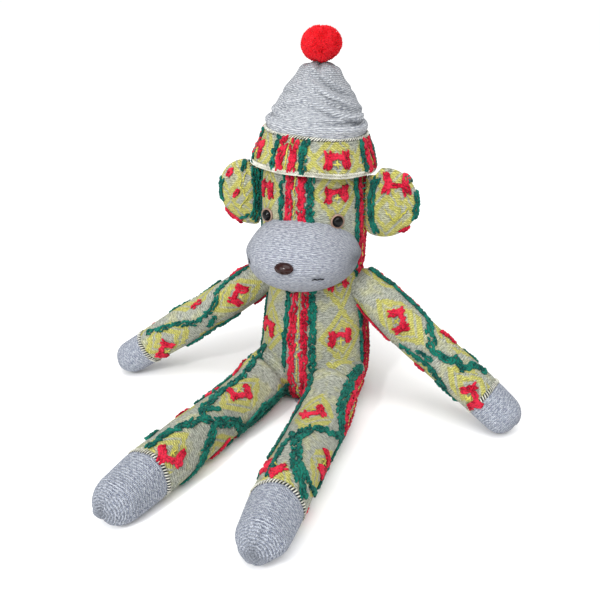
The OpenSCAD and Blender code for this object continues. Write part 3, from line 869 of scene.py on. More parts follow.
def finish_soft(piece, body, slot, *nodes, blend=None, fill=0.85, padded=True):
    if blend:
        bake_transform(piece)
    else:
        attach(piece, body)
    if nodes:
        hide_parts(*nodes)
    return piece


torso_neck = (("torso", "neck"), NECK_BLEND)
finish_soft(torso_piece, None, "patterned_knit", "torso_skin", "torso_stuffing", blend=torso_neck)

# %% [markdown]
# The striped floats run down the torso in four groups, at the front, the sides and the back. Each
# group is green, crimson, a thin yellow line, crimson and green, and a mark sits between groups.

# %% Float yarns of the torso
STRIPES = [(-12.5, 4.4, "green"), (-5.6, 6.2, "red"), (-0.6, 1.6, "yellow"), (4.6, 6.2, "red"),
           (12.0, 5.6, "green")]


def stripe_group(colours, fabric, angle, radius, low, high, lean=0.0, narrow=1.0):
    for offset, width, colour in STRIPES:
        a = angle + math.degrees(offset * narrow / radius)
        wave = math.degrees(0.6 / radius)
        s = np.linspace(low, high, 14)
        path = [(x, a + lean * (x - low) / (high - low) + wave * math.sin(0.35 * x + offset)) for x in s]
        colours[colour].path(fabric, path, width * narrow, spread=2.0 if colour != "yellow" else 1.6,
                             ragged=0.55 if colour != "yellow" else 0.15)


def yarn_set(prefix, body, seed):
    return {"green": Yarns(prefix + "_green_yarn", green_wool, body, seed),
            "red": Yarns(prefix + "_red_yarn", red_wool, body, seed + 1),
            "yellow": Yarns(prefix + "_yellow_yarn", yellow_wool, body, seed + 2)}


def lay_set(colours, blend=None):
    for colour, yarns in colours.items():
        if not yarns.points:
            continue
        piece = yarns.lay(fine_stitch if colour == "yellow" else None)
        if blend:
            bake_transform(piece)
        else:
            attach(piece, yarns.body)


torso_yarns = yarn_set("torso", None, 11)
for angle in (-2.5, 87.5, 177.5, 267.5):
    stripe_group(torso_yarns, torso, angle, 47.0, 2.0, 121.0)
for angle in (42.5, 132.5, 222.5, 312.5):
    for s in (16, 66, 116):
        aside = 3 if s == 16 else 0
        mark_on(torso_yarns["red"], torso, s, angle + aside, 47.0, 1.0, 0, torso_yarns["yellow"])
lay_set(torso_yarns, torso_neck)

# %% [markdown]
# ## Legs and arms
# A limb is a closed tube with a rounded end. The patterned leg of the sock joins a plain grey toe
# at a ring of ladder stitches. The tube is made as one grid along the limb and then parted at that
# ring, so the fabric runs on through the seam. Angle 0 is the top of the limb.

# %% Rings of a limb
LEG = [(0, 22.5), (25, 22.4), (60, 20.8), (95, 20.0), (140, 20.6), (182, 19.6), (208, 17.8)]
ARM = [(0, 15.2), (14, 16.8), (45, 17.6), (100, 17.4), (134, 16.6), (154, 16.2)]
LEG_LENGTH, ANKLE, ARM_LENGTH, WRIST = 229.0, 182.0, 169.0, 134.0


def limb_axes(direction):
    d = np.array(direction, float)
    d /= np.linalg.norm(d)
    side = np.cross(d, (0, 0, 1))
    side /= np.linalg.norm(side)
    return d, side, np.cross(side, d)


def limb_fabric(pivot, direction, stations, length, count, fat=1.0, drift=None, step=7.0):
    """drift(s) gives how far the middle line moves to the side and up, in mm."""
    d, side, up = limb_axes(direction)
    r0, (s1, r1) = stations[0][1], stations[-1]
    places = [(-r0 * math.cos(a), r0 * math.sin(a)) for a in np.radians((12, 32, 52, 72))]
    table_s, table_r = zip(*stations)
    for s in np.linspace(0, s1, int(s1 / step)):
        places.append((s, float(np.interp(s, table_s, table_r))))
    for a in np.radians((16, 32, 48, 62, 74, 83)):
        places.append((s1 + (length - s1) * math.sin(a), r1 * math.cos(a) ** 0.8))
    a = np.arange(count) / count * 2 * math.pi
    rings = []
    for s, r in places:
        dx, dz = drift(s) if drift else (0.0, 0.0)
        middle = np.array(pivot) + d * s + side * dx + up * dz
        rings.append(middle + r * fat * (np.sin(a)[:, None] * side + np.cos(a)[:, None] * up))
    return Fabric(rings, [s for s, _ in places])


def ease(x, low, high):
    f = np.clip((x - low) / (high - low), 0, 1)
    return f * f * (3 - 2 * f)


def leg_drift(s):
    tube = float(np.interp(min(s, 208), *zip(*LEG)))
    return -5.0 * ease(s, 5, 70), (tube + 0.4 - HIP[2]) * ease(s, 10, 60)


HIP, SHOULDER = (28.0, -18.6, 23.2), (45.5, -5.8, 103.3)
LEG_OUT, LEG_IN, ARM_FORWARD, ARM_DROP = (math.radians(a) for a in (14.4, 0.6, 13.7, 34.0))


def side_gathers(fabric, s, count, depth, start=0.0, half_s=5.0):
    for k in range(count):
        fabric.dent(s, start + 360 * k / count, half_s, 160 / count, depth)


def split_index(fabric, s):
    return int(np.argmin(abs(fabric.along - s)))


def ladder(name, fabric, s, finish, gap_shade_finish, body, pitch=2.2, slant=0.45, nodes=()):
    """A ring of short pale bars across a seam; if a gap finish is given, dark bars lie almost flat between
    them as painted shade in the seam's gaps.
    """
    girth = np.linalg.norm(np.diff(fabric.at(s, np.arange(0, 361, 5.0))[0], axis=0), axis=1).sum()
    count = int(girth / pitch)
    made = []
    # the second kind sits half a bar along and almost flat: dark bars that are painted shade in the gaps
    # between the pale bars
    for kind, colour, shift, lift in (("bars", finish, 0.0, 0.55), ("gaps", gap_shade_finish, 0.5, 0.1)):
        if colour is None:
            continue
        angles = (np.arange(count) + shift) / count * 360
        p, n = fabric.at(np.full(count, s), angles)
        q, _ = fabric.at(np.full(count, s + 1.0), angles + math.degrees(slant / 20))
        along = q - p
        made.append(lay_on_points(f"{name}_{kind}", p + n * lift, along, n, ladder_bar, colour,
                                  5 + count, 0.12, 0.85, 1.1))
    for k, obj in enumerate(made):
        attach(obj, body)
    if nodes:
        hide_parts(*nodes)


# %% Legs
legs = {}
for side_name, sign, turn, seed in (("right", -1, LEG_OUT, 21), ("left", 1, LEG_IN, 22)):
    direction = (-math.sin(turn), -math.cos(turn), 0)
    pivot = (sign * HIP[0], HIP[1], HIP[2])
    leg_ = limb_fabric(pivot, direction, LEG, LEG_LENGTH, 40, drift=leg_drift)
    leg_ = puff(leg_, [0, 1, 2, 3, 4, split_index(leg_, ANKLE), len(leg_.along) - 1], 2.5)
    leg_.lumps(24, 0.55, seed)
    leg_ = leg_.refined(2, 1)
    # the fold where the belly meets the thigh
    leg_.dent(32 if side_name == "right" else 29, -5, 3.2, 70, 9.0, 0)
    leg_.dent(40, -5, 5.0, 56, -1.8)
    leg_.dent(ANKLE, 0, 2.6, 4000, 0.7)
    for k, angle in enumerate((-70, -20, 35, 100, 170, 235)):
        leg_.dent(LEG_LENGTH - 7, angle, 6.0, 9, 2.6 if k == 1 else 1.3)
    leg_ = leg_.refined(2, 4)
    rest_on_floor(leg_)
    legs[side_name] = leg_
print("leg rings:", leg_.rings.shape)

# %% Close and finish a limb
def limb_pieces(name, fabric, seam, girth, knit_material, toe_node, seam_name):
    """name is both the body and the start of its CAD nodes' names."""
    cut = split_index(fabric, seam)
    skin = sew(f"{name}_fabric", fabric, girth, knit_material, 0, cut + 1)
    finish_soft(skin, name, "patterned_knit", f"{name}_skin", f"{name}_stuffing")
    toe = sew(f"{name}_toe_fabric", fabric, girth, grey, cut)
    finish_soft(toe, name, "grey_knit", toe_node)
    ladder(f"{seam_name}_ladder", fabric, seam, pale_cotton, dark_thread_and_gap_shade, name,
           nodes=(f"{seam_name}_stitches",))


LEG_GIRTH, ARM_GIRTH = 132.0, 107.0
right_leg_knit = patterned_knit("right leg knit", LEG_GIRTH / 4, 94.0, 47.0, LEG_GIRTH * 330 / 360, 82.0)
left_leg_knit = patterned_knit("left leg knit", LEG_GIRTH / 4, 94.0, 47.0, LEG_GIRTH * 4 / 360, 96.0)
for side_name, material in (("right", right_leg_knit), ("left", left_leg_knit)):
    limb_pieces(f"{side_name}_leg", legs[side_name], ANKLE, LEG_GIRTH, material, f"{side_name}_foot",
                f"{side_name}_ankle")

# %% Float yarns of the legs: (distance along, angle round) in mm and degrees
LEG_GREEN = {
    "right": [([(8, -104), (20, -102), (48, -92), (68, -90), (84, -100), (98, -118)], 6.5),
              ([(20, -122), (48, -118), (72, -124), (92, -140)], 4.0),
              ([(10, 18), (30, 10), (50, 6), (63, 2), (82, 6), (100, 6), (110, -4), (124, -10), (130, -27),
                (124, -45)], 4.2),
              ([(124, -47), (111, -62), (101, -76), (99, -96), (90, -118)], 6.0),
              ([(130, -22), (144, -17), (156, -6), (168, 0), (178, 6)], 4.0),
              ([(124, -50), (135, -71), (144, -88), (150, -107), (157, -128), (166, -140)], 6.0),
              ([(112, -30), (118, -16), (128, -8)], 3.0), ([(104, -128), (110, -138)], 4.0)],
    "left": [([(2, -64), (11, -60), (30, -52), (50, -46), (66, -45), (78, -50), (88, -64), (94, -80)], 6.0),
             ([(2, -128), (30, -134), (60, -132), (84, -118), (94, -92)], 4.0),
             ([(126, -7), (117, -14), (113, -34), (107, -60), (96, -84), (100, -104), (118, -110),
               (132, -112), (146, -118)], 4.6),
             ([(122, -4), (134, 4), (146, -4), (158, -14), (168, -27), (175, -46), (179, -64)], 6.5),
             ([(158, -26), (164, -44), (166, -66), (163, -88), (158, -108)], 3.6),
             ([(126, 22), (134, 20), (148, 28), (164, 25), (178, 24)], 3.4)]}
LEG_RED = {
    "right": [([(112, -108), (120, -122), (131, -130)], 3.0), ([(84, 40), (96, 44)], 3.0),
              ([(30, -134), (60, -140)], 3.6)],
    "left": [([(2, -80), (30, -71), (60, -66), (76, -70), (86, -84)], 5.0),
             ([(2, -102), (30, -106), (60, -108), (80, -106), (90, -94)], 5.0)]}
LEG_YELLOW = {"right": [([(104, 8), (116, -6), (122, -20)], 2.0)],
              "left": [([(6, -92), (34, -88), (60, -88), (82, -88)], 1.8)]}
LEG_MARKS = {"right": [(82, -28, 1.0, 62), (172, -46, 1.05, 40)],
             "left": [(96, 4, 0.95, 30), (137, -78, 1.0, 95), (168, 26, 1.0, -35)]}
for side_name, seed in (("right", 31), ("left", 41)):
    fabric, colours = legs[side_name], yarn_set(f"{side_name}_leg", f"{side_name}_leg", seed)
    for colour, table in (("green", LEG_GREEN), ("red", LEG_RED), ("yellow", LEG_YELLOW)):
        for path, width in table[side_name]:
            if colour == "green":
                width = 1.25 * width - 0.2
            colours[colour].path(fabric, path, width)
            if colour != "yellow":
                # the far side of the sock carries the same floats half a turn on
                colours[colour].path(fabric, [(s, a + 180) for s, a in path], width)
    for s, a, size, turn in LEG_MARKS[side_name]:
        for half in (0, 180):
            mark_on(colours["red"], fabric, s, a + half, 21.0, size, turn, colours["yellow"])
    lay_set(colours)

# %% Arms
arms = {}
for side_name, sign, fat, seed in (("right", -1, 0.97, 25), ("left", 1, 1.03, 26)):
    direction = (sign * math.cos(ARM_FORWARD) * math.cos(ARM_DROP),
                 -math.sin(ARM_FORWARD) * math.cos(ARM_DROP), -math.sin(ARM_DROP))
    pivot = (sign * SHOULDER[0], SHOULDER[1], SHOULDER[2])
    arm_ = limb_fabric(pivot, direction, ARM, ARM_LENGTH, 36, fat)
    arm_ = puff(arm_, [0, 1, 2, 3, 4, split_index(arm_, WRIST), len(arm_.along) - 1], 2.2)
    arm_.lumps(22, 0.45, seed)
    arm_ = arm_.refined(2, 1)
    arm_.dent(WRIST, 0, 2.4, 4000, 0.6)
    side_gathers(arm_, 8, 7, 0.9, 10)
    arm_ = arm_.refined(2, 4)
    rest_on_floor(arm_)
    arms[side_name] = arm_
    knit_side = patterned_knit(f"{side_name} arm knit", ARM_GIRTH / 4, 80.0, 40.0,
                               ARM_GIRTH * (62 if sign > 0 else 275) / 360, 43.0 if sign > 0 else 28.0)
    limb_pieces(f"{side_name}_arm", arm_, WRIST, ARM_GIRTH, knit_side, f"{side_name}_hand",
                f"{side_name}_wrist")

# %% Float yarns of the arms
ARM_GREEN = {
    "left": [([(-6, -10), (5, -12), (16, -14), (29, -14), (44, -12), (56, -4), (62, 6)], 5.0),
             ([(62, 8), (66, 30), (73, 38), (77, 58), (85, 55), (95, 50), (96, 32), (107, 38), (110, 4),
               (122, -16)], 5.0),
             ([(56, 116), (74, 107), (84, 98), (98, 108), (108, 118)], 4.4), ([(70, 90), (84, 78)], 3.6),
             ([(98, 132), (112, 138)], 3.6)],
    "right": [([(4, -8), (20, -18), (27, -22), (40, -34), (46, -44)], 4.0),
              ([(44, -52), (51, -72), (64, -84), (77, -83), (85, -67), (95, -56), (115, -39),
                (124, -30)], 4.6),
              ([(40, -160), (55, -150), (67, -142), (84, -150), (100, -158)], 4.4),
              ([(56, -101), (68, -120)], 4.0)]}
ARM_RED = {"left": [([(-8, -38), (7, -38), (20, -38), (34, -35), (46, -28)], 4.4),
                    ([(74, -2), (88, -8)], 3.0), ([(74, 134), (84, 136)], 3.4)],
           "right": [([(4, 14), (16, 6), (26, 0)], 3.0), ([(60, -38), (72, -42)], 3.0)]}
ARM_MARKS = {"left": [(42, 62, 0.95, 58), (127, 78, 0.95, 62)],
             "right": [(26, -84, 0.95, -60), (117, -112, 0.95, -60)]}
for side_name, seed in (("right", 51), ("left", 61)):
    fabric, colours = arms[side_name], yarn_set(f"{side_name}_arm", f"{side_name}_arm", seed)
    for colour, table in (("green", ARM_GREEN), ("red", ARM_RED)):
        for path, width in table[side_name]:
            colours[colour].path(fabric, path, width)
            colours[colour].path(fabric, [(s, a + 180) for s, a in path], width)
    for s, a, size, turn in ARM_MARKS[side_name]:
        for half in (0, 180):
            mark_on(colours["red"], fabric, s, a + half, 17.0, size, turn, colours["yellow"])
    lay_set(colours)

# %% [markdown]
# ## Head
# The head is the top of the same tube, so its stripes carry on from the torso. It is drawn in at
# the neck, pressed in a little where the eyes are fastened, and its top is under the hat.

# %% Rings of the head
head_profile = np.array([(4, 121.4), (16, 121.4), (28, 121.5), (36, 121.6), (39.4, 122.2), (40.8, 126),
                         (42.2, 131), (43.3, 138), (43.9, 147), (44.2, 157), (44.1, 168), (43.8, 179),
                         (43.2, 190), (42.2, 200), (39.5, 210), (34, 218), (24, 224), (12, 227),
                         (4, 227.5)])
head_along = arc_length(head_profile)
head_along += 147 - head_along[8]
HEAD_X = -3.0
head_rings = [turned_ring((HEAD_X * float(ease(z, 122, 138)), 0), r, r, z, 56) for r, z in head_profile]
head = Fabric(head_rings, head_along)
head = puff(head.refined(2, 1), list(range(0, 10)) + list(range(28, 37)), 2.0)
head.lumps(26, 0.4, 8)
head = head.refined(1, 2)
for angle in np.arange(0, 360, 24):
    head.dent(125, angle + 6, 6, 4.5, 0.9)
for angle in (-41.5, 41.5):
    head.dent(168.3, angle, 7.5, 10, 1.7)
head = head.refined(2, 2)
HEAD_GIRTH = 277.0
head_knit = patterned_knit("head knit", HEAD_GIRTH / 4, 50.0, 0.0, HEAD_GIRTH * 42 / 360, 191.0)
head_piece = sew("head_fabric", head, HEAD_GIRTH, head_knit)
head_neck = (("neck", "head"), dict(start=(0, 0, 0.1218), end=(0, 0, 0.134)))
finish_soft(head_piece, None, "patterned_knit", "head_skin", "head_stuffing", blend=head_neck)
head_yarns = yarn_set("head", None, 71)
for angle in (-3, 84, 174, 264):
    stripe_group(head_yarns, head, angle, 44.0, 122.0, 206.0)
for angle in (41, 129, 219, -45):
    for s in (141, 190):
        mark_on(head_yarns["red"], head, s, angle, 44.0, 0.95, 0, head_yarns["yellow"])
lay_set(head_yarns, head_neck)

# %% [markdown]
# ## Muzzle
# The muzzle is the heel of the sock: a deep cup whose rows of stitches all run from one side to
# the other and draw together at the two ends. So its rings go round the left-right axis, and the
# rows of knit are lines of one angle, which meet at the ends as they do on the real heel.

# %% Rings of the muzzle
MUZZLE_CENTRE, MUZZLE_SIZE = np.array((HEAD_X, -28.0, 138.5)), (46.6, 53.0, 29.5)
MUZZLE_TOP = 33.5
rings, along = [], []
for b in np.radians(np.linspace(5, 175, 31)):
    x, f = -MUZZLE_SIZE[0] * math.cos(b), math.sin(b) ** 0.92
    a = np.arange(48) / 48 * 2 * math.pi
    lift = np.where(np.sin(a) > 0, MUZZLE_TOP * math.sin(b) ** 1.2, MUZZLE_SIZE[2] * f)
    rings.append(MUZZLE_CENTRE + np.stack([np.full(48, x), -MUZZLE_SIZE[1] * f * np.cos(a),
                                           lift * np.sin(a)], 1))
    along.append(x)
muzzle = Fabric(rings, along)
muzzle = puff(muzzle, [0, 1, 29, 30], 2.0)
muzzle.lumps(30, 0.35, 14)
muzzle = muzzle.refined(2, 2)
NOSE_S, NOSE_ANGLE = 0.0, 7.0
muzzle.dent(NOSE_S, NOSE_ANGLE, 9, 13, 1.2)
muzzle.dent(-38, -8, 4.0, 16, 1.8)
muzzle.dent(24, -14, 5.5, 6, 1.5)
muzzle = muzzle.refined(2, 2)
r = muzzle.rings
radius = np.hypot(r[..., 0], r[..., 1])
inside = 1 - ease(radius, 45.5, 49.5)
CHEST_ROOM = 130.5
r[..., 2] = np.where(r[..., 2] < CHEST_ROOM, r[..., 2] * (1 - inside) + CHEST_ROOM * inside, r[..., 2])
muzzle.measure()
muzzle_piece = sew("muzzle_fabric", muzzle, 250.0, muzzle_grey)
layer = muzzle_piece.data.uv_layers["knit"]
uv = np.zeros(len(layer.data) * 2, np.float32)
layer.data.foreach_get("uv", uv)
layer.data.foreach_set("uv", uv.reshape(-1, 2)[:, ::-1].copy().ravel())
finish_soft(muzzle_piece, "head", "grey_knit", "muzzle_skin", "muzzle_stuffing")

# %% Mouth tucks: a pinch of dark thread at each side of the muzzle
tucks = Yarns("mouth_tucks", dark_thread_and_gap_shade, "head", 81)
tucks.path(muzzle, [(21, -14.5), (24, -15.5), (28, -16.5)], 1.0, 2.2, ragged=0.1, skip=0, lift=0.1)
tucks.path(muzzle, [(-37.5, -13), (-38, -8), (-38.2, -2)], 1.0, 2.2, ragged=0.1, skip=0, lift=0.1)
mouth = tucks.lay(fine_stitch, 0.1)
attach(mouth, "head")
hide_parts("mouth_stitches")

# %% [markdown]
# ## Eyes and nose
# These are turned and moulded parts, so each is a profile swept round an axis: a bronze rim with a
# bevelled lip, a glossy dome seated in it, and an oval nose with a bead round its edge.

# %% Sweep a profile round an axis, then place it
def lathe(name, profile, place, material, stretch=(1, 1), count=56):
    verts, faces = [], []
    a = np.arange(count) / count * 2 * math.pi
    for r, z in profile:
        ring = np.stack([r * np.cos(a) * stretch[0], r * np.sin(a) * stretch[1], np.full(count, z)], 1)
        verts.append(ring)
    verts = np.vstack(verts)
    for i in range(len(profile) - 1):
        for t in range(count):
            u = (t + 1) % count
            faces.append((i * count + t, i * count + u, (i + 1) * count + u, (i + 1) * count + t))
    faces.append(tuple(reversed(range(count))))
    faces.append(tuple(range((len(profile) - 1) * count, len(profile) * count)))
    rotation, origin = place
    verts = verts @ rotation.T + origin
    mesh = bpy.data.meshes.new(name)
    mesh.from_pydata((verts * MM).tolist(), [], faces)
    mesh.shade_smooth()
    mesh.materials.append(material)
    obj = bpy.data.objects.new(name, mesh)
    scene.collection.objects.link(obj)
    return obj


def turn_x(deg):
    c, s = math.cos(math.radians(deg)), math.sin(math.radians(deg))
    return np.array([[1, 0, 0], [0, c, -s], [0, s, c]])


def turn_z(deg):
    c, s = math.cos(math.radians(deg)), math.sin(math.radians(deg))
    return np.array([[c, -s, 0], [s, c, 0], [0, 0, 1]])


def smooth_profile(points, factor=4):
    return finer(np.array(points, float), factor, False).tolist()


RIM = smooth_profile([(1.6, -9.0), (1.6, -1.6), (3.2, -0.9), (5.0, -0.5), (5.8, 0.05), (6.05, 0.55),
                      (5.95, 1.15), (5.4, 1.65), (4.9, 1.75), (4.55, 1.35), (4.3, 1.0), (2.0, 0.9),
                      (0.4, 0.9)], 3)
DOME = smooth_profile([(4.35, 0.95), (4.45, 1.35), (4.2, 2.2), (3.5, 3.15), (2.5, 3.8), (1.3, 4.15),
                       (0.15, 4.25)], 3)
for side_name, sign, turn in (("right", -1, 22), ("left", 1, 36)):
    place = (turn_z(sign * turn) @ turn_x(86), np.array((HEAD_X + sign * 29.4, -33.2, 168.3)))
    rim = lathe(f"{side_name}_eye_bronze_rim", RIM, place, rim_bronze)
    dome = lathe(f"{side_name}_eye_black_dome", DOME, place, pupil_black)
    for piece, node, slot in ((rim, "eye_rim", "eye_rim_plastic"), (dome, "eye_dome", "eye_dome_plastic")):
        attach(piece, "head")
        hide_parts(f"{side_name}_{node}")
NOSE_Z = 142.0
nose_depth = MUZZLE_SIZE[1] * math.sqrt(1 - ((NOSE_Z - MUZZLE_CENTRE[2]) / MUZZLE_SIZE[2]) ** 2)
place = (turn_x(59), np.array((HEAD_X, MUZZLE_CENTRE[1] - nose_depth, NOSE_Z)))
NOSE = smooth_profile([(0.22, -9.0), (0.22, -1.8), (0.7, -1.2), (0.96, -0.5), (1.01, 0.25), (0.99, 0.75),
                       (0.93, 1.0), (0.88, 1.15), (0.80, 1.9), (0.62, 2.7), (0.38, 3.25), (0.15, 3.45),
                       (0.02, 3.5)], 3)
nose = lathe("oval_nose", NOSE, place, nose_brown, (7.5, 4.7))
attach(nose, "head")
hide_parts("nose")

# %% [markdown]
# ## Ears
# Each ear is two round pieces of knit sewn edge to edge and filled like a small pillow. Its root is
# pinched flat where it is whipped to the side of the head.

# %% Rings of an ear, from the middle of its front to the middle of its back
EAR_FAR, EAR_R, EAR_Y, EAR_Z, EAR_T = 86.0, 29.0, -6.0, 179.2, 15.0
ears = {}
for side_name, sign in (("right", -1), ("left", 1)):
    head_side = HEAD_X + sign * math.sqrt(44.0 ** 2 - EAR_Y ** 2)
    centre_x = sign * (EAR_FAR - EAR_R)
    root = abs(centre_x - (head_side + sign * 1.6))
    a = np.arange(56) / 56 * 2 * math.pi
    toward = -np.cos(a)
    limit = np.where(toward > 0.02, root / np.maximum(toward, 0.02), 1e3)
    outline = (EAR_R ** -6 + limit ** -6.0) ** (-1 / 6)
    q = np.concatenate([np.linspace(0.07, 1, 12), np.linspace(1, 0.07, 12)[1:]])
    rings, along = [], []
    for k, f in enumerate(q):
        rho = math.sin(f * math.pi / 2)
        thick = EAR_T / 2 * (1 - rho ** 2.4) ** 0.62
        face = -1 if k < 12 else 1
        pinch = 1 - 0.62 * ease(toward * rho * outline, root * 0.25, root * 1.0)
        x = centre_x + sign * np.cos(a) * rho * outline
        z = EAR_Z + np.sin(a) * rho * outline
        y = EAR_Y + face * thick * pinch
        rings.append(np.stack([x, y, z], 1))
        along.append(k / (len(q) - 1) * 100 - 50)
    ear = Fabric(rings, along)
    ear = puff(ear, [11], 2.2, 3.0)
    ear.lumps(20, 0.3, 90 + sign)
    ear = ear.refined(2, 2)
    for k in range(9):
        ear.dent(0, 180 - 44 + 11 * k, 12, 3.2, 0.8)
    ear = ear.refined(2, 2)
    # the band of the hat presses the top of the ear down
    top = 201.0 + 8 * ease(np.hypot(ear.rings[..., 0] + 2.5, ear.rings[..., 1]), 52, 60)
    height = ear.rings[..., 2]
    pressed = top - 2 * np.exp(-np.maximum(height - top + 2, 0) / 2)
    ear.rings[..., 2] = np.where(height > top - 2, pressed, height)
    ear.measure()
    ears[side_name] = ear
    ear_knit = patterned_knit(f"{side_name} ear knit", 26.0, 40.0, 20.0, 10.0 if sign > 0 else 4.0, 12.0)
    piece = sew(f"{side_name}_ear_pillow", ear, 100.0, ear_knit)
    layer = piece.data.uv_layers["knit"]
    count = len(piece.data.loops)
    index = np.zeros(count, np.int32)
    piece.data.loops.foreach_get("vertex_index", index)
    co = np.zeros(len(piece.data.vertices) * 3, np.float32)
    piece.data.vertices.foreach_get("co", co)
    co = co.reshape(-1, 3)[index]
    layer.data.foreach_set("uv", np.stack([co[:, 0] * 10, co[:, 2] * 10], 1).astype(np.float32).ravel())
    finish_soft(piece, f"{side_name}_ear", "patterned_knit", f"{side_name}_ear_skin",
                f"{side_name}_ear_stuffing")


def ear_spot(ear, x, z, back):
    """The point and normal at x, z on the front or the back of an ear."""
    half = len(ear.along) // 2
    rows = slice(half, None) if back else slice(0, half)
    r = ear.rings[rows]
    d = (r[..., 0] - x) ** 2 + (r[..., 2] - z) ** 2
    i, t = np.unravel_index(np.argmin(d), d.shape)
    return r[i, t], ear.normals[rows][i, t]


EAR_GREEN = {"right": [([(-52, 202), (-51, 190), (-50, 178), (-51, 166), (-54, 156)], 5.5),
                       ([(-60, 205), (-62, 198)], 3.0), ([(-82, 190), (-84, 180), (-83, 170)], 3.0),
                       ([(-58, 160), (-66, 156)], 2.6)],
             "left": [([(53, 200), (50, 190), (49, 178), (50, 166), (54, 155)], 6.0),
                      ([(84, 190), (85.5, 180), (84, 168)], 4.0), ([(76, 203), (80, 198)], 3.0)]}
EAR_RED = {"right": [([(-72, 199), (-76, 192)], 3.4), ([(-80, 162), (-74, 157), (-66, 153)], 3.0),
                     ([(-66, 182), (-70, 176)], 3.0)],
           "left": [([(60, 205), (62, 197), (60, 189)], 5.0), ([(77, 205), (75, 197), (78, 189)], 5.0),
                    ([(63, 195), (75, 195)], 3.4),
                    ([(80, 160), (74, 156)], 3.0)]}
EAR_YELLOW = {"right": [([(-58, 196), (-64, 186), (-58, 176), (-64, 166)], 2.6)],
              "left": [([(60, 176), (69, 166), (78, 176)], 2.6)]}
for side_name, sign, seed in (("right", -1, 101), ("left", 1, 111)):
    ear = ears[side_name]
    for colour, table, finish in (("green", EAR_GREEN, green_wool), ("red", EAR_RED, red_wool),
                                  ("yellow", EAR_YELLOW, yellow_wool)):
        rng = np.random.default_rng(seed + len(colour))
        points, along_, up_ = [], [], []
        for back in (False, True):
            for path, width in table[side_name]:
                path = np.array(path, float)
                length = arc_length(path)
                strands = max(1, round(width / 1.9))
                for k in range(strands):
                    for d in np.arange(rng.uniform(0, 2), length[-1], 2.5):
                        x, z = (np.interp(d, length, path[:, j]) for j in (0, 1))
                        ahead, behind = min(d + 1, length[-1]), max(d - 1, 0)
                        dx, dz = (np.interp(ahead, length, path[:, j]) - np.interp(behind, length, path[:, j])
                                  for j in (0, 1))
                        size = math.hypot(dx, dz) + 1e-9
                        off = (k - (strands - 1) / 2) * 1.9 + rng.normal(0, 0.4)
                        p, n = ear_spot(ear, x - dz / size * off, z + dx / size * off, back)
                        points.append(p + n * 0.4)
                        along_.append((dx, 0, dz))
                        up_.append(n)
        made = lay_on_points(f"{side_name}_ear_{colour}_yarn", points, along_, up_,
                             fine_stitch if colour == "yellow" else yarn_stitch, finish, seed, 0.22)
        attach(made, f"{side_name}_ear")
    # whip stitches that hold the root to the head
    z = np.linspace(EAR_Z - 20, EAR_Z + 18, 18)
    turn = np.where(np.arange(18) % 2, 1.0, -1.0)
    head_side = HEAD_X + sign * math.sqrt(44.0 ** 2 - EAR_Y ** 2)
    p = np.stack([np.full(18, head_side + sign * 1.3), EAR_Y + 3.2 * turn, z], 1)
    made = lay_on_points(f"{side_name}_ear_whip_stitches", p, np.tile((sign, 0, 0.35), (18, 1)),
                         np.stack([np.zeros(18), turn, np.zeros(18)], 1),
                         ladder_bar, green_wool, seed + 3, 0.1)
    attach(made, "head")
    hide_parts(f"{side_name}_ear_stitches")

# %% [markdown]
# ## Hat
# The hat is the cuff and toe of the second sock. A patterned band flares round the head, ending in
# an overlocked hem, and a soft grey cone sits in it. The cone is only lightly filled, so it folds
# over its seam on one side, and is drawn together at the tip.

# %% Place points of the hat, which leans a little to one side
HAT_TILT, HAT_PLACE = math.radians(3.5), np.array((-2.5, 0.0, 207.0))


def on_hat(points):
    x, y, z = points[..., 0], points[..., 1], points[..., 2]
    c, s = math.cos(HAT_TILT), math.sin(HAT_TILT)
    return np.stack([x * c + z * s, y, -x * s + z * c], -1) + HAT_PLACE


cone_profile = np.array([(34, 24.5), (40.2, 25), (40.9, 28), (40.8, 32), (40.0, 36), (38.0, 39.5), (35.6, 43),
                         (33.4, 47), (31.2, 51), (29.0, 55), (26.6, 58.5), (24.3, 62), (21.6, 65.5),
                         (19.2, 69), (17.8, 72), (16.4, 75), (13.6, 77.4),
                         (8.0, 78.8), (1.5, 79.2)])
cone_along = arc_length(cone_profile)
cone = Fabric([turned_ring((0, 0), r, r, z, 56) for r, z in cone_profile], cone_along)
cone = puff(cone, [0, 1, 17, 18], 2.5, 3.0)
cone.lumps(16, 0.5, 33)
cone = cone.refined(3, 2)
# the fabric slumps over the band's edge on the wearer's left, with folds running down to it
cone.dent(15, 62, 3.2, 36, -3.4, 0)
cone.dent(15, -70, 3.0, 30, -2.2, 0)
# each fold: distance up the cone, angle, half its width round, depth, slant
HAT_FOLDS = [(20.5, 68, 46, 4.4, 0), (21, -72, 34, 2.6, 0), (27, 36, 40, 3.2, 30), (33, 52, 46, 3.4, 30),
             (40, 34, 44, 3.0, 32), (47, 56, 40, 2.6, 28), (55, 20, 36, 2.0, 30), (30, -34, 26, 2.0, -30),
             (42, -50, 30, 1.8, -20), (25, 110, 30, 2.2, 25), (24, 180, 50, 1.8, 20),
             (38, 150, 40, 2.0, 25), (34, 230, 40, 2.0, -20), (50, 200, 40, 1.6, 15)]
for s, angle, half_angle, depth, slant in HAT_FOLDS:
    cone.dent(s, angle, 1.7, half_angle, depth, slant)
    cone.dent(s + 3.6, angle, 2.4, half_angle, -0.55 * depth, slant)
for angle, depth in ((10, 2.6), (70, 1.8), (128, 2.4), (190, 2.0), (250, 2.5), (312, 1.8)):
    cone.dent(68, angle, 9, 12, depth)
cone = cone.refined(2, 2)
cone.rings = on_hat(cone.rings)
cone.measure()
cone_piece = sew("hat_cone_fabric", cone, 230.0, hat_grey)
finish_soft(cone_piece, "head", "grey_knit", "hat_cone", "hat_stuffing", fill=0.5)

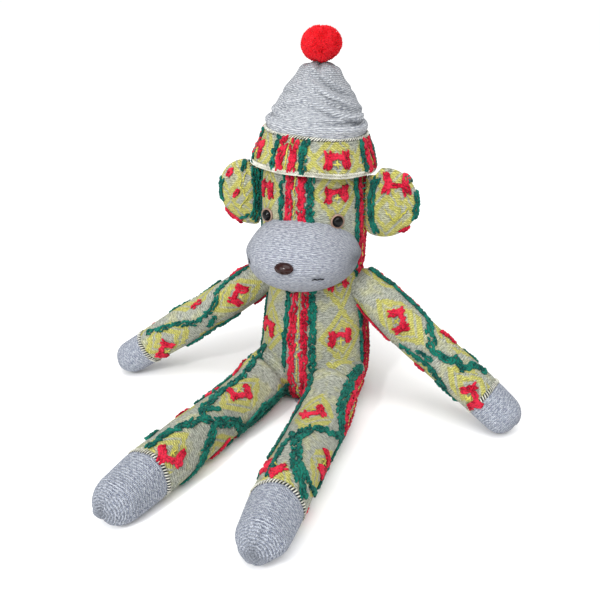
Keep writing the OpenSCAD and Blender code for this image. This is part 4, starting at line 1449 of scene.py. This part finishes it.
# %% The band: out over the top edge, down the outside, round the hem and up inside
band_profile = np.array([(39.2, 22.0), (42.0, 16), (44.4, 9), (46.8, 2.5), (48.0, 0.2), (49.6, -0.3),
                         (50.2, 1.2), (49.6, 5), (48.0, 10), (46.0, 15), (44.0, 20), (42.6, 24),
                         (41.9, 26.4), (41.0, 27.4), (39.6, 26.8), (38.8, 24.6)])
band_along = np.array([-24, -18, -11, -5, -2.5, -0.5, 1.2, 5, 10, 15, 20, 24, 26.4, 27.8, 29, 31.0])
band = Fabric([turned_ring((0, 0), r, r, z, 64) for r, z in band_profile], band_along)
a = np.arange(64) / 64 * 2 * math.pi
sway = 0.9 * np.sin(2 * a + 0.7) + 0.6 * np.sin(3 * a + 2.0) + 0.35 * np.sin(7 * a)
low = np.clip(1 - band.rings[..., 2] / 27, 0, 1)
band.rings[..., 2] += sway * low * 0.9
band.measure()
band = band.refined(2, 2)
s, a = band.along[:, None], np.arange(128)[None, :] / 128 * 2 * math.pi
band.push(0.35 * np.sin(s / 3.3) * np.cos(5 * a) * (s > 2))
band = band.refined(2, 2)
band.rings = on_hat(band.rings)
band.measure()
BAND_GIRTH = 292.0
band_knit = patterned_knit("hat band knit", BAND_GIRTH / 8, 44.0, 0.0, BAND_GIRTH * 37 / 360, 12.0)
band_piece = sew("hat_band_fabric", band, BAND_GIRTH, band_knit, caps=(False, False))
finish_soft(band_piece, "head", "patterned_knit", "hat_brim", padded=False)
band_yarns = yarn_set("hat_band", "head", 121)
for angle in (-11, 85, 181, 277):
    stripe_group(band_yarns, band, angle, 46.0, 1.5, 26.0, narrow=1.0)
for angle in (37, 133, 229, 325 - 24):
    mark_on(band_yarns["red"], band, 12.5, angle, 46.0, 0.95, 0, band_yarns["yellow"])
lay_set(band_yarns)

# %% Hem of the band: two rows of overlock loops, and a ladder where the cone joins
ladder("hat_hem_overlock", band, 0.3, pale_cotton, None, "head", 1.7, 0.8,
       nodes=("hat_hem",))
ladder("hat_hem_edge", band, 1.9, pale_cotton, None, "head", 2.0, -0.6)
ladder("hat_cone_ladder", band, 27.2, pale_cotton, dark_thread_and_gap_shade, "head", 2.2, 0.5)

# %% [markdown]
# ## Pom-pom
# A pom-pom is hundreds of cut wool ends. Geometry Nodes scatters points on a small core with a
# fixed seed, stands a tapered tuft on each and leans it a little, and realizes them.

# %% Scatter tufts on a core
def tuft_mesh(length):
    """Three tapered wool ends that lean apart, each a triangle swept up."""
    verts, faces = [], []
    rng = np.random.default_rng(5)
    for k in range(3):
        lean = rng.uniform(-0.5, 0.5, 2)
        turn = 2.1 * k
        for h, w in ((0, 0.50), (0.55, 0.42), (1.0, 0.14)):
            bend = h * h * length * 0.5
            for j in range(3):
                a = turn + 2 * math.pi * j / 3
                x = w * math.cos(a) + lean[0] * bend + 0.5 * math.cos(turn)
                y = w * math.sin(a) + lean[1] * bend + 0.5 * math.sin(turn)
                verts.append((x * MM, y * MM, h * length * MM))
        start = k * 9
        for i in range(2):
            for j in range(3):
                p, q = start + i * 3 + j, start + i * 3 + (j + 1) % 3
                faces.append((p, q, q + 3, p + 3))
        faces.append((start + 6, start + 7, start + 8))
        faces.append((start + 2, start + 1, start))
    mesh = bpy.data.meshes.new("wool_tuft")
    mesh.from_pydata(verts, [], faces)
    mesh.shade_smooth()
    return bpy.data.objects.new("wool_tuft", mesh)


def scatter_tree():
    tree = bpy.data.node_groups.new("PomPomTufts", "GeometryNodeTree")
    io = tree.interface
    io.new_socket("Core", in_out="INPUT", socket_type="NodeSocketGeometry")
    for label, kind in (("Tuft", "NodeSocketObject"), ("Finish", "NodeSocketMaterial"),
                        ("Seed", "NodeSocketInt"), ("Per square metre", "NodeSocketFloat"),
                        ("Lean", "NodeSocketFloat")):
        io.new_socket(label, in_out="INPUT", socket_type=kind)
    io.new_socket("Geometry", in_out="OUTPUT", socket_type="NodeSocketGeometry")
    n, link = tree.nodes, tree.links.new
    given, out = n.new("NodeGroupInput").outputs, n.new("NodeGroupOutput").inputs
    spread = n.new("GeometryNodeDistributePointsOnFaces")
    link(given["Core"], spread.inputs["Mesh"])
    link(given["Per square metre"], spread.inputs["Density"])
    link(given["Seed"], spread.inputs["Seed"])
    jitter = n.new("FunctionNodeRandomValue")
    jitter.data_type = "FLOAT_VECTOR"
    low, high = n.new("ShaderNodeCombineXYZ"), n.new("ShaderNodeCombineXYZ")
    minus = math_node(tree, "MULTIPLY", given["Lean"], -1.0)
    for axis in ("X", "Y"):
        link(minus, low.inputs[axis])
        link(given["Lean"], high.inputs[axis])
    high.inputs["Z"].default_value = 6.28
    link(low.outputs[0], jitter.inputs["Min"])
    link(high.outputs[0], jitter.inputs["Max"])
    link(given["Seed"], jitter.inputs["Seed"])
    angles = n.new("FunctionNodeEulerToRotation")
    link(jitter.outputs["Value"], angles.inputs[0])
    turned = n.new("FunctionNodeRotateRotation")
    turned.rotation_space = "LOCAL"
    link(spread.outputs["Rotation"], turned.inputs[0])
    link(angles.outputs[0], turned.inputs[1])
    size = n.new("FunctionNodeRandomValue")
    size.inputs[2].default_value, size.inputs[3].default_value = 0.85, 1.15
    link(math_node(tree, "ADD", given["Seed"], 3.0), size.inputs["Seed"])
    info = n.new("GeometryNodeObjectInfo")
    info.inputs["As Instance"].default_value = True
    link(given["Tuft"], info.inputs["Object"])
    lay = n.new("GeometryNodeInstanceOnPoints")
    link(spread.outputs["Points"], lay.inputs["Points"])
    link(info.outputs["Geometry"], lay.inputs["Instance"])
    link(turned.outputs[0], lay.inputs["Rotation"])
    link(size.outputs[1], lay.inputs["Scale"])
    both = n.new("GeometryNodeJoinGeometry")
    link(given["Core"], both.inputs[0])
    link(lay.outputs[0], both.inputs[0])
    real = n.new("GeometryNodeRealizeInstances")
    link(both.outputs[0], real.inputs[0])
    finish = n.new("GeometryNodeSetMaterial")
    link(real.outputs[0], finish.inputs["Geometry"])
    link(given["Finish"], finish.inputs["Material"])
    link(finish.outputs[0], out["Geometry"])
    return tree


pom_low, pom_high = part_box("pompom")
pom_middle = (np.array(pom_low) + np.array(pom_high)) / 2 / MM
polar = np.radians(np.linspace(6, 174, 22))
CORE_WIDE, CORE_TALL = 13.6, 11.3
core_rings = []
for p in polar:
    around = CORE_WIDE * math.sin(p)
    core_rings.append(turned_ring((0, 0), around, around, -CORE_TALL * math.cos(p), 32))
core = Fabric(core_rings, np.degrees(polar))
core.lumps(40, 0.5, 9)
core.rings = core.rings + pom_middle - np.array((0.0, 0.0, 2.6))
core.measure()
core_piece = sew("pompom_core", core, 60.0, pompom_wool)
modifier = core_piece.modifiers.new("tufts", "NODES")
modifier.node_group = scatter_tree()
wanted = {"Tuft": tuft_mesh(2.0), "Finish": pompom_wool, "Seed": 4, "Per square metre": 1.9e6, "Lean": 0.7}
for item in modifier.node_group.interface.items_tree:
    if item.in_out == "INPUT" and item.name in wanted:
        modifier[item.identifier] = wanted[item.name]
bpy.context.view_layer.update()
plain = bpy.data.meshes.new_from_object(core_piece.evaluated_get(bpy.context.evaluated_depsgraph_get()))
core_piece.modifiers.clear()
bpy.data.objects.remove(core_piece)
pompom = bpy.data.objects.new("wool_pompom", plain)
scene.collection.objects.link(pompom)
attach(pompom, "pompom")
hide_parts("pompom")
print("pom-pom has", len(plain.polygons), "faces")

# %% [markdown]
# ## Tail
# A thin stuffed tube lies on the ground behind the seat and curls to one side, with a grey tip.

# %% Rings along the tail's arc
TAIL_CENTRE, TAIL_CURL, TAIL_TURN, TAIL_TIP, TAIL_R = (-80.0, 52.0), 80.0, 78.0, 60.0, 9.5
places = [(-d, r) for d, r in ((9.4, 2.6), (7.8, 5.8), (5.0, 8.4), (2.0, 9.7))]
total = math.radians(TAIL_TURN) * TAIL_CURL
places += [(s, TAIL_R) for s in np.linspace(3, total - 2, 22)]
places += [(total + d, r) for d, r in ((1.5, 9.5), (4.8, 8.5), (7.6, 6.0), (9.3, 2.8))]
a = np.arange(32) / 32 * 2 * math.pi
rings = []
for s, r in places:
    turn = s / TAIL_CURL
    out = np.array((math.cos(turn), math.sin(turn), 0.0))
    middle = np.array((TAIL_CENTRE[0], TAIL_CENTRE[1], 10.2)) + out * TAIL_CURL
    if s < 0 or s > total:
        end = 0.0 if s < 0 else total
        out_end = np.array((math.cos(end / TAIL_CURL), math.sin(end / TAIL_CURL), 0.0))
        ahead = np.array((-out_end[1], out_end[0], 0.0))
        middle = np.array((TAIL_CENTRE[0], TAIL_CENTRE[1], 10.2)) + out_end * TAIL_CURL + ahead * (s - end)
        out = out_end
    rings.append(middle + r * (np.sin(a)[:, None] * out + np.cos(a)[:, None] * np.array((0, 0, 1.0))))
tail = Fabric(rings, [s for s, _ in places])
tail = puff(tail, [0, 1, 2, len(places) - 1], 1.5)
tail.lumps(16, 0.35, 55)
tail = tail.refined(2, 2)
tip_s = math.radians(TAIL_TIP) * TAIL_CURL
tail.dent(tip_s, 0, 2.2, 4000, 0.5)
tail = tail.refined(2, 2)
rest_on_floor(tail)
tail_knit = patterned_knit("tail knit", 62.0 / 2, 60.0, 30.0, 0.0, 30.0)
cut = split_index(tail, tip_s)
finish_soft(sew("tail_fabric", tail, 62.0, tail_knit, 0, cut + 1), "tail", "patterned_knit", "tail_skin",
            "tail_stuffing")
finish_soft(sew("tail_tip_fabric", tail, 62.0, grey, cut, None), "tail", "grey_knit", "tail_tip")
ladder("tail_ladder", tail, tip_s, pale_cotton, dark_thread_and_gap_shade, "tail",
       nodes=("tail_tip_stitches",))
tail_yarns = yarn_set("tail", "tail", 131)
s = np.linspace(-4, tip_s - 3, 16)
for offset in (-45, 135):
    tail_yarns["green"].path(tail, [(x, offset + 14 * math.sin(x / 12)) for x in s], 3.8)
    tail_yarns["red"].path(tail, [(x, offset + 42 + 10 * math.sin(x / 12 + 1)) for x in s], 3.4)
lay_set(tail_yarns)

# %% [markdown]
# ## Seat patch
# The grey heel of the body's sock lies under the seat and shows a little at the crotch.

# %% A disc of grey knit on the underside
patch_rings, patch_along = [], []
for k, reach in enumerate(np.linspace(1.5, 30, 9)):
    a = np.arange(48) / 48 * 2 * math.pi
    x, y = reach * 0.42 * np.sin(a), -8 - reach * 1.32 * np.cos(a)
    z = np.full(48, 0.12) + np.where(y < -38, (np.abs(y + 38) / 9.5) ** 2 * 3.0, 0)
    patch_rings.append(np.stack([x, np.maximum(y, -46.8), z + 0.05], 1))
    patch_along.append(reach)
top_rings = [r + np.array((0, 0.9, 0.9)) for r in patch_rings[::-1]]
patch = Fabric(patch_rings + top_rings, patch_along + [61 - s for s in patch_along[::-1]])
patch_piece = sew("seat_heel_knit", patch, 90.0, grey)
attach(patch_piece, "torso")
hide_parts("seat_heel_patch")

# %% [markdown]
# ## Inner pieces
# Washers, gathering threads and the pom-pom's tie are exact CAD parts. They keep their shapes and
# get the finish of their material.

# %% Finish the CAD pieces that stay
INNER = {"washer": washer_white, "pompom_tie": pompom_wool, "neck_gathering_thread": green_wool,
         "shoulder_stitches": red_wool, "hip_stitches": green_wool, "tail_base_stitches": green_wool}
for node_name, node_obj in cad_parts.items():
    for ending, material in INNER.items():
        if node_name.endswith(ending):
            node_obj.data.materials.clear()
            node_obj.data.materials.append(material)
            print("finished", node_name)

# %% [markdown]
# ## Floor, light and camera
# The toy sits on a plain pale floor under broad, soft lamps, seen from a little to its left and
# above, as it would be on a table in front of the viewer.

# %% Floor
bpy.ops.mesh.primitive_plane_add(size=8.0, location=(0, 0, 0))
floor = bpy.context.object
floor.name = "floor"
floor_finish = bpy.data.materials.new("pale paper floor")
floor_finish.use_nodes = True
tree, shader = floor_finish.node_tree, shader_of(floor_finish)
place = tree.nodes.new("ShaderNodeTexCoord").outputs["Object"]
paper = mixed(tree, noise_node(tree, place, 3.0), (0.94, 0.94, 0.94), (0.96, 0.96, 0.96))
tree.links.new(paper, shader.inputs["Base Color"])
shader.inputs["Roughness"].default_value = 0.9
floor.data.materials.append(floor_finish)
floor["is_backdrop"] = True

# %% Lights
SKY = 0.58
scene.view_settings.view_transform = "Standard"
world = bpy.data.worlds.new("studio")
world.use_nodes = True
tree = world.node_tree
seen = tree.nodes.new("ShaderNodeLightPath").outputs["Is Camera Ray"]
tree.nodes["Background"].inputs["Color"].default_value = (1.0, 1.0, 1.0, 1.0)
strength = math_node(tree, "MULTIPLY_ADD", seen, 1.02 - SKY, SKY)
tree.links.new(strength, tree.nodes["Background"].inputs["Strength"])
scene.world = world


def lamp(name, place, target, size, watts):
    data = bpy.data.lights.new(name, "AREA")
    data.size, data.energy = size, watts
    obj = bpy.data.objects.new(name, data)
    obj.location = place
    obj.rotation_euler = (Vector(target) - Vector(place)).to_track_quat("-Z", "Y").to_euler()
    scene.collection.objects.link(obj)


lamp("front softbox", (-0.5, -1.3, 0.7), (0, -0.05, 0.15), 0.8, 7.0)
lamp("catchlight", (-0.25, -1.0, 0.75), (0, -0.05, 0.17), 0.10, 4.0)
# a very wide, distant light keeps the floor evenly white all the way back
sky_data = bpy.data.lights.new("broad skylight", "SUN")
sky_data.energy, sky_data.angle = 2.5, math.radians(60)
sky = bpy.data.objects.new("broad skylight", sky_data)
sky.rotation_euler = (math.radians(22), math.radians(12), 0)
scene.collection.objects.link(sky)

# %% Camera at the viewing angle of a seated toy on a table
AZIMUTH, ELEVATION, DISTANCE = math.radians(17.1), math.radians(23.8), 0.548
TARGET = Vector((0.0097, -0.080, 0.1172))
back = Vector((math.sin(AZIMUTH) * math.cos(ELEVATION), -math.cos(AZIMUTH) * math.cos(ELEVATION),
               math.sin(ELEVATION)))
camera_data = bpy.data.cameras.new("camera")
camera_data.sensor_width, camera_data.lens = 36.0, 42.34
camera = bpy.data.objects.new("camera", camera_data)
camera.location = TARGET + back * DISTANCE
camera.rotation_euler = (-back).to_track_quat("-Z", "Y").to_euler()
scene.collection.objects.link(camera)
scene.camera = camera

# %% Measure and finish
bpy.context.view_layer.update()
total = sum(len(p.data.polygons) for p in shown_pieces() if p.type == "MESH")
print("faces in all shown pieces:", total)
